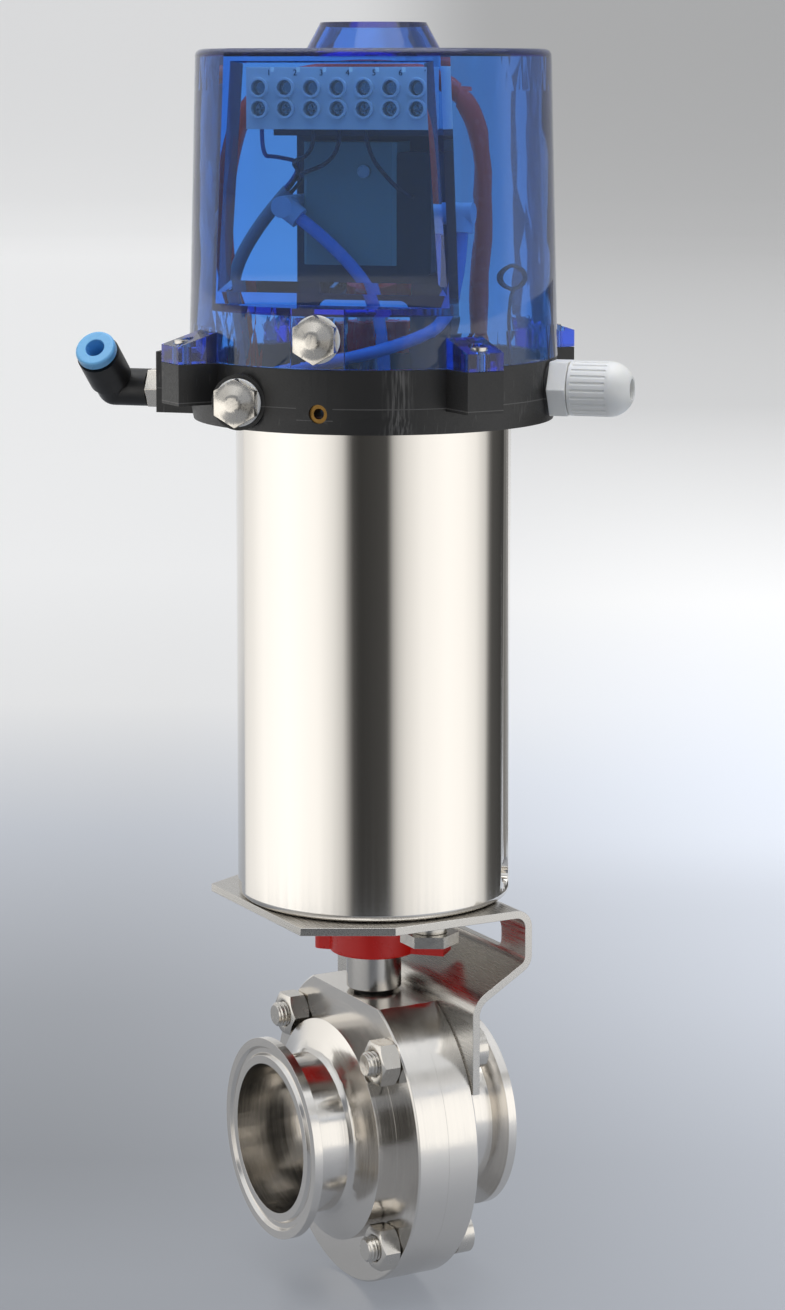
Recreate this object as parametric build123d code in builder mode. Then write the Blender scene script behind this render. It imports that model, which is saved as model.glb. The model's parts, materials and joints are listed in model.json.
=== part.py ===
"""Pneumatic butterfly valve for DN 50 pipe with a bracket-mounted piston actuator and a see-through control head.

The pipe runs along Y and the stem along Z. The pieces are drawn about the point where they cross, and saved with
the centre of the inlet ferrule's face as the origin. All sizes are in millimetres.
"""
import os
from math import cos, pi, radians, sin, sqrt, tan

from build123d import *

os.makedirs("parts", exist_ok=True)

# General clearances
SEATED = 0.02           # between a pin or plug and the hole it is fixed in
RUNNING = 0.05          # radial clearance of a shaft that turns or slides
APART = 0.3             # between pieces that move past each other

# Clamp ferrules and pipe
BORE_R = 23.8
TUBE_R = 25.4
FERRULE_R = 32.0
FERRULE_T = 2.9
FERRULE_SLOPE = 20.0    # degrees, back of the clamp rim
FRONT_FACE_Y = 38.0     # stem axis to ferrule face
REAR_FACE_Y = 35.2
GROOVE_R = 27.9         # gasket groove in the face
GROOVE_W = 1.5

# Split body
FLANGE_R = 50.0
FLANGE_T = 10.7         # each half
FLAT_Z = 44.3           # flat on top of the flange
HUB_R = 35.5
HUB_LENGTH = 6.6
CONE_LENGTH = 3.2
CONE_FOOT_R = 26.9
EDGE_BREAK = 0.5

# Body bolts, M8
BOLT_R = 4.0
BOLT_X = 31.5
BOLT_Z = 30.0
BOLT_HEAD_R = 6.5
BOLT_HEAD_H = 8.0
LOW_HEAD_H = 5.5
BOLT_SOCKET = 6.0       # across flats
NUT_FLATS = 13.0
NUT_H = 6.5
BOLT_END = 3.2          # thread past the nut

# Disc, stem and seat
SEAT_OUTER_R = 27.5
SEAT_LIP = 0.5          # seat standing into the bore
SEAT_HALF_W = 7.0
DISC_GAP = 0.25
DISC_EDGE = 1.5         # half thickness at the rim
DISC_MIDDLE = 3.6       # half thickness at the centre
DISC_HUB_R = 6.4
STEM_R = 5.0
STEM_SQUARE = 7.0
STEM_SQUARE_H = 9.0
STEM_LOW_Z = -40.5
BUSHING_WALL = 1.45
BUSHING_PROUD = 0.5

# Coupling and indicator
COUPLING_R = 8.9
COUPLING_Z = 45.1
COUPLING_H = 28.4
DRIVE_SQUARE = 9.0
DRIVE_SQUARE_H = 10.0
INDICATOR_R = 14.4
INDICATOR_Z = 57.4
INDICATOR_H = 9.6
POINTER_REACH = 24.7
POINTER_ANGLE = 45.0
TAIL_REACH = 18.6

# Bracket, one bent sheet
SHEET = 2.5
BRACKET_HALF_W = 46.0
PLATE_TOP_Z = 77.0
PLATE_FRONT_Y = -43.0
PLATE_CORNER_X = 32.0
PLATE_CORNER_Y = -17.0
LEG_OUTER_Y = 32.2
KNEE_Z = 59.6
ANKLE_Z = 48.4
BRACKET_LOW_Z = 19.5
BEND_R = 4.5
WINDOW_HALF_W = 31.0
WINDOW_LOW_Z = 61.5
WINDOW_HIGH_Z = 70.5
SHAFT_HOLE_R = 12.0

# Plate bolts
PLATE_BOLT_PCD = 74.0
PLATE_HEAD_FLATS = 16.0
PLATE_HEAD_H = 3.6
SLEEVE_R = 5.6
SLEEVE_H = 2.7
PLATE_BOLT_DEPTH = 12.0

# Actuator
CYLINDER_R = 43.9
CYLINDER_WALL = 2.5
CYLINDER_TOP_Z = 231.0
CYLINDER_EDGE = 2.5
FLOOR_H = 17.0
PORT_R = 4.4
PORT_ANGLE = 45.0
PORT_UP = 9.5           # port centre above the plate
PORT_DEPTH = 10.0
LID_H = 12.0
RING_H = 1.4
RING_IN = 3.4
STROKE = 30.0
TURN = 90.0             # degrees over the stroke
JOURNAL_R = 8.0
BEARING_WALL = 1.95
SLEEVE_OUTER_R = 14.0
SLEEVE_INNER_R = 9.5
SHAFT_FLANGE_R = 14.9
SHAFT_FLANGE_H = 2.7
PIN_R = 3.0
SLOT_CLEARANCE = 0.25
PIN_UP = 20.0           # pin above the cylinder floor
PISTON_H = 11.7
PISTON_HUB_R = 21.0
PISTON_HUB_H = 27.0
ROD_R = 4.0
ROD_SPACING = 54.0
ROD_SEAT = 3.0
SEAL_H = 3.0
SEAL_DEPTH = 2.7
SPRING_R = 36.0
SPRING_WIRE = 4.0
SPRING_TURNS = 6
TOP_ROD_R = 5.0
TOP_ROD_Z = 266.0

# Control head housing
WINDOW_ANGLE = -45.0
BASE_Z = 231.3
BASE_TOP_Z = 251.0
BASE_R = 58.4
BASE_FOOT_IN = 1.1      # foot of the base inside its widest radius
BASE_WALL = 4.2
BASE_FLOOR = 4.5
LUG_SCREW_OUT = 8.1     # cover screws outside the base
LUG_END_OUT = 4.7       # lug past its screw
LUG_HALF_W = 6.2
BASE_LUG_H = 12.7
COVER_GAP = 0.2
COVER_TOP_Z = 347.7
COVER_PROUD = 0.2       # foot of the cover outside the base
COVER_TAPER = 2.4       # radius lost from foot to top
COVER_WALL = 2.5
COVER_EDGE = 2.2
LUG_INNER_H = 9.6
LUG_OUTER_H = 5.4
WINDOW_IN = 14.1        # window face inside the cover's foot
WINDOW_SILL_Z = 269.5
PANE_RECESS = 2.0
PANE_LOW_HALF_W = 33.3
PANE_TOP_HALF_W = 28.8
PANE_LOW_Z = 276.6
PANE_TOP_Z = 343.0
PANE_BEVEL = 3.4
PAD_HALF_W = 8.5
PAD_PROUD = 0.2
DOME_LOW_R = 21.2
DOME_TOP_R = 16.7
DOME_H = 8.3
SEAL_RING_W = 1.6
SEAL_RING_H = 1.2

# Screws of the cover and of the base
COVER_SCREW_R = 1.5
COVER_SCREW_HEAD_R = 2.9
COVER_SCREW_HEAD_H = 2.0
COVER_SCREW_LENGTH = 14.0
BASE_SCREW_R = 2.0
BASE_SCREW_HEAD_R = 3.6
BASE_SCREW_HEAD_H = 2.4
BASE_SCREW_PCD = 64.0
BASE_SCREW_LENGTH = 12.0

# Vent plugs and insert
PLUG_FLATS = 13.0
PLUG_HEX_H = 3.0
PLUG_CONE_H = 2.2
PLUG_FACE_R = 1.9
PLUG_THREAD_R = 4.0
PLUG_WASHER_R = 7.4
PLUG_WASHER_T = 1.0
BASE_PLUG_SIDE = -26.3
BASE_PLUG_Z = 240.2
BASE_PLUG_IN = 2.7      # seat of the base's plug inside the base
BASE_PLUG_BOSS_R = 8.6
BASE_PLUG_BOSS_L = 12.0
COVER_PLUG_Z = 260.3
INSERT_R = 2.9
INSERT_HOLE_R = 1.65
INSERT_L = 7.0
INSERT_Z = 237.6

# Cable gland
GLAND_ANGLE = 45.0
GLAND_Z = 242.0
GLAND_SEAT_OUT = 0.4    # seat of the gland outside the base
GLAND_BOSS_R = 8.8
GLAND_FLATS = 17.0
GLAND_HEX_H = 5.9
GLAND_THREAD_R = 6.0
GLAND_THREAD_L = 9.4
GLAND_BORE_R = 3.3
GLAND_COLLAR_R = 6.5
GLAND_COLLAR_L = 5.5
GLAND_NUT_R = 8.7
GLAND_NUT_L = 19.2
GLAND_NUT_STRAIGHT = 13.0
GLAND_RIBS = 24
LOCKNUT_FLATS = 16.0
LOCKNUT_H = 2.8

# Elbow fitting
ELBOW_ANGLE = 225.0
ELBOW_Z = 238.4
ELBOW_SEAT_OUT = 12.1   # boss of the elbow outside the base
ELBOW_BOSS_HALF_W = 9.0
ELBOW_FLATS = 12.0
ELBOW_HEX_H = 5.0
ELBOW_THREAD_R = 4.8
ELBOW_THREAD_L = 10.0
ELBOW_JOURNAL_R = 3.4
ELBOW_ARM = 17.5        # seat to the middle of the bend
ELBOW_BARREL_R = 6.1
ELBOW_SOCKET_R = 7.0
ELBOW_SOCKET_L = 19.0
ELBOW_TILT = 38.0
AIR_TUBE_R = 3.0       # tube that pushes into the elbow
COLLET_R = 6.6
COLLET_H = 3.0
COLLET_SLEEVE_R = 5.2
COLLET_SLEEVE_L = 7.0
COLLET_TRAVEL = 0.6

# Inside of the control head, lengths out from the axis towards the window, across it, and up
FRAME_N = 8.0
FRAME_T = 2.0
FRAME_LOW_HALF = -22.0
FRAME_HIGH_HALF = 28.0
SHELF_Z = 321.0
SHELF_END_N = 33.0
FOOT_L = 14.0
SOLENOID_N = 17.0       # depth of the block
SOLENOID_LEFT = -14.4
SOLENOID_W = 30.0
SOLENOID_LOW_Z = 281.0
SOLENOID_H = 38.0
COIL_W = 11.0
COIL_N = 16.0
COIL_LOW_Z = 278.0
COIL_H = 38.0
BUTTON_R = 2.0
BUTTON_SEAT = 3.0
BUTTON_PROUD = 1.5
BUTTON_TRAVEL = 1.0
STRIP_POLES = 7
STRIP_PITCH = 8.4
STRIP_H = 19.0
STRIP_D = 10.0
STRIP_N = 28.5
WELL_R = 2.5
WELL_DEPTH = 3.0
WELL_ROWS = 6.4
CAM_R = 9.0
CAM_LOBE_R = 12.5
CAM_LOBE_W = 7.0
CAM_WINDOW_W = 30.0
CAM_WINDOW_H = 24.0
CAM_Z = 252.0
CAM_H = 10.0
SWITCH_L = 20.0
SWITCH_T = 6.4
SWITCH_H = 10.0
LEVER_W = 1.4
LEVER_T = 0.8
LEVER_TRAVEL = 2.0
LEVER_PIN_R = 0.5
RED_TUBE_R = 3.0
BLUE_TUBE_R = 2.0
BLUE_LEAN = 36.0
CABLE_R = 2.1
WIRE_R = 0.65
WIRE_SPREAD = 1.2
LOOP_R = 3.6
LOOP_N = 8.0
LOOP_T = 47.3
LOOP_Z = 277.0
LEADS_POST_R = 2.4
POST_R = 3.4
POST_REACH = 6.0
ELBOW_UP = 7.0
FITTING_R = 4.6
FITTING_H = 5.0

# Places that follow from the sizes above
BASE_LOW_R = BASE_R - BASE_FOOT_IN
LUG_SCREW_R = BASE_R + LUG_SCREW_OUT
LUG_END_R = LUG_SCREW_R + LUG_END_OUT
COVER_LOW_R = BASE_R + COVER_PROUD
COVER_TOP_R = COVER_LOW_R - COVER_TAPER
WINDOW_N = COVER_LOW_R - WINDOW_IN
PAD_N = COVER_LOW_R + PAD_PROUD
BASE_PLUG_N = BASE_R - BASE_PLUG_IN
GLAND_SEAT_R = BASE_R + GLAND_SEAT_OUT
ELBOW_SEAT_R = BASE_R + ELBOW_SEAT_OUT
ELBOW_CENTRE_R = ELBOW_SEAT_R + ELBOW_ARM
BUSHING_R = STEM_R + RUNNING + BUSHING_WALL
SEAT_R = BORE_R - SEAT_LIP
DISC_R = SEAT_R - DISC_GAP
PLATE_LOW_Z = PLATE_TOP_Z - SHEET
CYLINDER_IN_R = CYLINDER_R - CYLINDER_WALL
FLOOR_Z = PLATE_TOP_Z + FLOOR_H
RING_TOP_Z = CYLINDER_TOP_Z - 0.6
LID_TOP_Z = RING_TOP_Z - RING_H
LID_LOW_Z = LID_TOP_Z - LID_H
PISTON_Z = FLOOR_Z + APART
PIN_Z = FLOOR_Z + PIN_UP
PISTON_R = CYLINDER_IN_R - 0.1
SHAFT_SLEEVE_TOP_Z = PIN_Z + STROKE + 8.0
COUPLING_TOP_Z = COUPLING_Z + COUPLING_H
FLOOR_TOP_Z = BASE_Z + BASE_FLOOR
COVER_Z = BASE_TOP_Z + COVER_GAP
LUG_SEAT_Z = COVER_Z + LUG_OUTER_H - 0.4
STEM_TOP_Z = COUPLING_TOP_Z - DRIVE_SQUARE_H - 1.5
FRAME_FACE_N = FRAME_N + FRAME_T
STRIP_Z = SHELF_Z + FRAME_T


def facing(angle, out, side=0.0, up=0.0):
    """Plane that looks outwards at a compass angle, with its x axis level and its y axis up."""
    a = radians(angle)
    origin = (out * cos(a) - side * sin(a), out * sin(a) + side * cos(a), up)
    return Plane(origin=origin, x_dir=(-sin(a), cos(a), 0), z_dir=(cos(a), sin(a), 0))


def upright(angle):
    """Vertical plane through the stem axis: x runs outwards at the angle and y is height."""
    a = radians(angle)
    return Plane(origin=(0, 0, 0), x_dir=(cos(a), sin(a), 0), z_dir=(sin(a), -cos(a), 0))


def level(height, angle=WINDOW_ANGLE):
    """Level plane at a height, with its x axis turned to the angle."""
    a = radians(angle)
    return Plane(origin=(0, 0, height), x_dir=(cos(a), sin(a), 0), z_dir=(0, 0, 1))


def place(n, t, z, angle=WINDOW_ANGLE):
    """Point given by its distance towards the window, across it, and its height."""
    a = radians(angle)
    return (n * cos(a) - t * sin(a), n * sin(a) + t * cos(a), z)


def save(builder, name):
    """Write one piece, moved so that the centre of the inlet face is the origin."""
    piece = Pos(0, FRONT_FACE_Y, 0) * builder.part
    piece.label = name
    export_step(piece, f"parts/{name}.step")


# Body halves: flange, hub, cone, neck and clamp ferrule in one turned profile
slope_length = (FERRULE_R - TUBE_R) * tan(radians(FERRULE_SLOPE))
hub_end = FLANGE_T + HUB_LENGTH
cone_end = hub_end + CONE_LENGTH
for name, side, face_y in (("body_front_half", -1, FRONT_FACE_Y), ("body_rear_half", 1, REAR_FACE_Y)):
    with BuildPart() as body_half:
        with BuildSketch(Plane.YZ):
            with BuildLine():
                Polyline(
                    (0, SEAT_OUTER_R),
                    (0, FLANGE_R),
                    (side * FLANGE_T, FLANGE_R),
                    (side * FLANGE_T, HUB_R),
                    (side * hub_end, HUB_R),
                    (side * cone_end, CONE_FOOT_R),
                    (side * (cone_end + 2.0), TUBE_R),
                    (side * (face_y - FERRULE_T - slope_length), TUBE_R),
                    (side * (face_y - FERRULE_T), FERRULE_R),
                    (side * face_y, FERRULE_R),
                    (side * face_y, GROOVE_R + GROOVE_W),
                    (side * (face_y - GROOVE_W * 0.7), GROOVE_R + GROOVE_W * 0.5),
                    (side * (face_y - GROOVE_W * 0.7), GROOVE_R - GROOVE_W * 0.5),
                    (side * face_y, GROOVE_R - GROOVE_W),
                    (side * face_y, BORE_R),
                    (side * SEAT_HALF_W, BORE_R),
                    (side * SEAT_HALF_W, SEAT_OUTER_R),
                    close=True,
                )
            make_face()
        revolve(axis=Axis.Y)
        with BuildSketch(Plane.XY.offset(FLAT_Z)):
            Rectangle(3 * FLANGE_R, 3 * FLANGE_T)
        extrude(amount=FLANGE_R, mode=Mode.SUBTRACT)
        outer_edges = body_half.edges().filter_by(lambda e: e.length > 100 and (e @ 0.5).Y * side > FLANGE_T - 0.1)
        chamfer(outer_edges.sort_by(SortBy.LENGTH)[-1], EDGE_BREAK)
        with BuildSketch(Plane.XY.offset(STEM_LOW_Z - 1.0)):
            Circle(BUSHING_R)
        extrude(amount=2 * FLANGE_R, mode=Mode.SUBTRACT)
        with BuildSketch(Plane.XZ.offset(-side * FLANGE_T)):
            with GridLocations(2 * BOLT_X, 2 * BOLT_Z, 2, 2):
                Circle(BOLT_R + 0.25)
        extrude(amount=side * FLANGE_T, mode=Mode.SUBTRACT)
    save(body_half, name)

# Bolts through both halves; the upper pair also holds the bracket
with BuildPart() as body_bolts:
    for x in (-BOLT_X, BOLT_X):
        for z, seat, head_h in ((BOLT_Z, FLANGE_T + SHEET, BOLT_HEAD_H), (-BOLT_Z, FLANGE_T, LOW_HEAD_H)):
            head = Plane(origin=(x, seat, z), x_dir=(1, 0, 0), z_dir=(0, 1, 0))
            with BuildSketch(head):
                Circle(BOLT_HEAD_R)
            extrude(amount=head_h)
            with BuildSketch(head.offset(head_h)):
                RegularPolygon(BOLT_SOCKET / 2, 6, major_radius=False)
            extrude(amount=-head_h / 2, mode=Mode.SUBTRACT)
            with BuildSketch(head):
                Circle(BOLT_R)
            extrude(amount=-(seat + FLANGE_T + NUT_H + BOLT_END))
save(body_bolts, "body_bolts")

with BuildPart() as body_nuts:
    with BuildSketch(Plane.XZ.offset(FLANGE_T)):
        with GridLocations(2 * BOLT_X, 2 * BOLT_Z, 2, 2):
            RegularPolygon(NUT_FLATS / 2, 6, major_radius=False, rotation=30)
    extrude(amount=NUT_H)
    with BuildSketch(Plane.XZ.offset(FLANGE_T)):
        with GridLocations(2 * BOLT_X, 2 * BOLT_Z, 2, 2):
            Circle(BOLT_R + SEATED)
    extrude(amount=NUT_H, mode=Mode.SUBTRACT)
save(body_nuts, "body_nuts")

# Seat ring, held between the halves
with BuildPart() as seat_ring:
    with BuildSketch(Plane.XZ.offset(-SEAT_HALF_W)):
        Circle(SEAT_OUTER_R)
        Circle(SEAT_R, mode=Mode.SUBTRACT)
    extrude(amount=2 * SEAT_HALF_W)
    with BuildSketch(Plane.XY):
        Circle(STEM_R + RUNNING)
    extrude(amount=FLANGE_R, both=True, mode=Mode.SUBTRACT)
save(seat_ring, "seat_ring")

# Disc and stem, one piece; everything inside the bore lies inside a ball, so that it can turn
with BuildPart() as disc_hub:
    Cylinder(DISC_HUB_R, 3 * DISC_R)
    Sphere(DISC_R, mode=Mode.INTERSECT)
with BuildPart() as valve_disc:
    rim_r = sqrt(DISC_R ** 2 - DISC_EDGE ** 2)
    with BuildSketch(Plane.YZ):
        with BuildLine():
            ThreePointArc((-DISC_MIDDLE, 0), (-(DISC_MIDDLE * 0.85 + DISC_EDGE * 0.15), rim_r / 2), (-DISC_EDGE, rim_r))
            Line((-DISC_EDGE, rim_r), (DISC_EDGE, rim_r))
            ThreePointArc((DISC_EDGE, rim_r), (DISC_MIDDLE * 0.85 + DISC_EDGE * 0.15, rim_r / 2), (DISC_MIDDLE, 0))
            Line((DISC_MIDDLE, 0), (-DISC_MIDDLE, 0))
        make_face()
    revolve(axis=Axis.Y)
    add(disc_hub.part)
    with BuildSketch(Plane.XY.offset(STEM_LOW_Z)):
        Circle(STEM_R)
    extrude(amount=STEM_TOP_Z - STEM_SQUARE_H - STEM_LOW_Z)
    with BuildSketch(Plane.XY.offset(STEM_TOP_Z - STEM_SQUARE_H)):
        Rectangle(STEM_SQUARE, STEM_SQUARE)
    extrude(amount=STEM_SQUARE_H)
save(valve_disc, "valve_disc")

for name, low, high in (("upper_bushing", SEAT_OUTER_R + 0.2, FLAT_Z + BUSHING_PROUD),
                        ("lower_bushing", STEM_LOW_Z - 0.8, -SEAT_OUTER_R - 0.2)):
    with BuildPart() as bushing:
        with BuildSketch(Plane.XY.offset(low)):
            Circle(BUSHING_R - SEATED)
            Circle(STEM_R + RUNNING, mode=Mode.SUBTRACT)
        extrude(amount=high - low)
    save(bushing, name)

# Coupling between the valve stem and the drive shaft
with BuildPart() as stem_coupling:
    with BuildSketch(Plane.XY.offset(COUPLING_Z)):
        Circle(COUPLING_R)
    extrude(amount=COUPLING_H)
    chamfer(stem_coupling.edges().group_by(Axis.Z)[0], EDGE_BREAK)
    with BuildSketch(Plane.XY.offset(COUPLING_Z)):
        Circle(STEM_R + SEATED)
    extrude(amount=STEM_TOP_Z - STEM_SQUARE_H - COUPLING_Z, mode=Mode.SUBTRACT)
    with BuildSketch(Plane.XY.offset(STEM_TOP_Z - STEM_SQUARE_H)):
        Rectangle(STEM_SQUARE + 2 * SEATED, STEM_SQUARE + 2 * SEATED)
    extrude(amount=STEM_SQUARE_H, mode=Mode.SUBTRACT)
    with BuildSketch(Plane.XY.offset(COUPLING_TOP_Z)):
        Rectangle(DRIVE_SQUARE + 2 * SEATED, DRIVE_SQUARE + 2 * SEATED)
    extrude(amount=-DRIVE_SQUARE_H, mode=Mode.SUBTRACT)
save(stem_coupling, "stem_coupling")

# Red indicator clipped round the coupling: hub, wedge-shaped pointer and short tail
with BuildPart() as position_indicator:
    with BuildSketch(Plane.XY.offset(INDICATOR_Z)):
        Circle(INDICATOR_R)
    extrude(amount=INDICATOR_H)
    fillet(position_indicator.edges().group_by(Axis.Z)[0], 0.8)
    with BuildSketch(upright(POINTER_ANGLE)):
        with BuildLine():
            Polyline((0, INDICATOR_Z + 0.4), (POINTER_REACH, INDICATOR_Z + 0.4), (POINTER_REACH, INDICATOR_Z + 2.8),
                     (INDICATOR_R, INDICATOR_Z + INDICATOR_H - 1.5), (0, INDICATOR_Z + INDICATOR_H), close=True)
        make_face()
    extrude(amount=4.5, both=True)
    with BuildSketch(level(INDICATOR_Z + 0.4, POINTER_ANGLE)):
        with Locations((-(TAIL_REACH + COUPLING_R) / 2, 0)):
            RectangleRounded(TAIL_REACH - COUPLING_R, 13.0, 2.5)
    extrude(amount=INDICATOR_H - 0.4)
    with BuildSketch(Plane.XY.offset(INDICATOR_Z)):
        Circle(COUPLING_R + SEATED)
    extrude(amount=INDICATOR_H, mode=Mode.SUBTRACT)
save(position_indicator, "position_indicator")

# Bracket: plate, bend, windowed leg, slope and lower leg behind the rear half
leg_y = LEG_OUTER_Y - SHEET / 2
foot_y = FLANGE_T + SHEET / 2
plate_z = PLATE_TOP_Z - SHEET / 2
with BuildPart() as mounting_bracket:
    with BuildSketch(Plane.YZ):
        with BuildLine():
            FilletPolyline((PLATE_FRONT_Y, plate_z), (leg_y, plate_z), (leg_y, KNEE_Z), (foot_y, ANKLE_Z),
                           (foot_y, BRACKET_LOW_Z), radius=[BEND_R, BEND_R, BEND_R + SHEET])
        trace(line_width=SHEET)
    extrude(amount=BRACKET_HALF_W, both=True)
    for side in (-1, 1):
        with BuildSketch(Plane.XY.offset(PLATE_LOW_Z - 1)):
            with BuildLine():
                Polyline((side * PLATE_CORNER_X, PLATE_FRONT_Y), (side * BRACKET_HALF_W, PLATE_CORNER_Y),
                         (side * (BRACKET_HALF_W + 5), PLATE_CORNER_Y), (side * (BRACKET_HALF_W + 5), PLATE_FRONT_Y - 5),
                         (side * PLATE_CORNER_X, PLATE_FRONT_Y - 5), close=True)
            make_face()
        extrude(amount=SHEET + 2, mode=Mode.SUBTRACT)
    with BuildSketch(Plane.XY.offset(PLATE_LOW_Z - 1)):
        Circle(SHAFT_HOLE_R)
        with GridLocations(PLATE_BOLT_PCD, 0, 2, 1):
            Circle(BOLT_R + APART)
    extrude(amount=SHEET + 2, mode=Mode.SUBTRACT)
    with BuildSketch(Plane.XZ.offset(-LEG_OUTER_Y - 1)):
        with Locations((0, (WINDOW_LOW_Z + WINDOW_HIGH_Z) / 2)):
            RectangleRounded(2 * WINDOW_HALF_W, WINDOW_HIGH_Z - WINDOW_LOW_Z, 3.0)
    extrude(amount=SHEET + 2, mode=Mode.SUBTRACT)
    with BuildSketch(Plane.XZ.offset(-FLANGE_T)):
        Circle(HUB_R + APART)
        with Locations((-BOLT_X, BOLT_Z), (BOLT_X, BOLT_Z)):
            Circle(BOLT_R + APART)
    extrude(amount=-SHEET, mode=Mode.SUBTRACT)
save(mounting_bracket, "mounting_bracket")

# Hex screws with spacer sleeves that hold the cylinder on the plate
sleeve_z = PLATE_LOW_Z - SLEEVE_H
with BuildPart() as plate_bolts:
    with BuildSketch(Plane.XY.offset(sleeve_z)):
        with GridLocations(PLATE_BOLT_PCD, 0, 2, 1):
            RegularPolygon(PLATE_HEAD_FLATS / 2, 6, major_radius=False)
    extrude(amount=-PLATE_HEAD_H)
    with BuildSketch(Plane.XY.offset(sleeve_z)):
        with GridLocations(PLATE_BOLT_PCD, 0, 2, 1):
            Circle(BOLT_R)
    extrude(amount=SLEEVE_H + SHEET + PLATE_BOLT_DEPTH)
save(plate_bolts, "plate_bolts")

with BuildPart() as plate_sleeves:
    with BuildSketch(Plane.XY.offset(sleeve_z)):
        with GridLocations(PLATE_BOLT_PCD, 0, 2, 1):
            Circle(SLEEVE_R)
            Circle(BOLT_R + SEATED, mode=Mode.SUBTRACT)
    extrude(amount=SLEEVE_H)
save(plate_sleeves, "plate_sleeves")

# Actuator cylinder: thick floor with bearing bore, bolt threads and air port, thin wall above
bearing_r = JOURNAL_R + RUNNING + BEARING_WALL
with BuildPart() as actuator_cylinder:
    with BuildSketch(Plane.XZ):
        with BuildLine():
            Polyline(
                (bearing_r, PLATE_TOP_Z), (CYLINDER_R, PLATE_TOP_Z), (CYLINDER_R, CYLINDER_TOP_Z),
                (CYLINDER_IN_R, CYLINDER_TOP_Z), (CYLINDER_IN_R, RING_TOP_Z), (CYLINDER_IN_R + 1, RING_TOP_Z),
                (CYLINDER_IN_R + 1, LID_TOP_Z), (CYLINDER_IN_R, LID_TOP_Z), (CYLINDER_IN_R, FLOOR_Z),
                (bearing_r, FLOOR_Z), close=True)
        make_face()
    revolve(axis=Axis.Z)
    fillet(actuator_cylinder.edges().group_by(Axis.Z)[0].sort_by(SortBy.LENGTH)[-1], CYLINDER_EDGE)
    with BuildSketch(Plane.XY.offset(PLATE_TOP_Z)):
        with GridLocations(PLATE_BOLT_PCD, 0, 2, 1):
            Circle(BOLT_R + SEATED)
    extrude(amount=PLATE_BOLT_DEPTH + 1, mode=Mode.SUBTRACT)
    with BuildSketch(Plane.XY.offset(FLOOR_Z)):
        with GridLocations(0, ROD_SPACING, 1, 2):
            Circle(ROD_R + SEATED)
    extrude(amount=-ROD_SEAT, mode=Mode.SUBTRACT)
    port = facing(PORT_ANGLE, CYLINDER_R + 1, 0, PLATE_TOP_Z + PORT_UP)
    with BuildSketch(port):
        Circle(PORT_R)
    extrude(amount=-PORT_DEPTH - 1, mode=Mode.SUBTRACT)
    with BuildSketch(level(PLATE_TOP_Z + PORT_UP, PORT_ANGLE)):
        with Locations((CYLINDER_R - PORT_DEPTH + 3, 0)):
            Circle(1.5)
    extrude(amount=FLOOR_H, mode=Mode.SUBTRACT)
save(actuator_cylinder, "actuator_cylinder")

with BuildPart() as shaft_bearing:
    with BuildSketch(Plane.XY.offset(PLATE_TOP_Z + 1)):
        Circle(bearing_r - SEATED)
        Circle(JOURNAL_R + RUNNING, mode=Mode.SUBTRACT)
    extrude(amount=FLOOR_H - 2)
save(shaft_bearing, "shaft_bearing")

with BuildPart() as cylinder_lid:
    with BuildSketch(Plane.XY.offset(LID_LOW_Z)):
        Circle(CYLINDER_IN_R - SEATED)
        Circle(TOP_ROD_R + RUNNING, mode=Mode.SUBTRACT)
    extrude(amount=LID_H)
    with BuildSketch(Plane.XY.offset(LID_LOW_Z)):
        with GridLocations(0, ROD_SPACING, 1, 2):
            Circle(ROD_R + SEATED)
    extrude(amount=ROD_SEAT, mode=Mode.SUBTRACT)
    with BuildSketch(Plane.XY.offset(LID_TOP_Z)):
        with PolarLocations(BASE_SCREW_PCD / 2, 4, start_angle=45):
            Circle(BASE_SCREW_R + SEATED)
    extrude(amount=-BASE_SCREW_LENGTH + BASE_FLOOR + 1, mode=Mode.SUBTRACT)
save(cylinder_lid, "cylinder_lid")

with BuildPart() as retaining_ring:
    with BuildSketch(Plane.XY.offset(LID_TOP_Z)):
        Circle(CYLINDER_IN_R + 1 - SEATED)
        Circle(CYLINDER_IN_R - RING_IN, mode=Mode.SUBTRACT)
        with Locations((0, -CYLINDER_IN_R)):
            Rectangle(8, 10, mode=Mode.SUBTRACT)
    extrude(amount=RING_H)
save(retaining_ring, "retaining_ring")

with BuildPart() as guide_rods:
    with BuildSketch(Plane.XY.offset(FLOOR_Z - ROD_SEAT)):
        with GridLocations(0, ROD_SPACING, 1, 2):
            Circle(ROD_R)
    extrude(amount=LID_LOW_Z - FLOOR_Z + 2 * ROD_SEAT)
save(guide_rods, "guide_rods")

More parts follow.
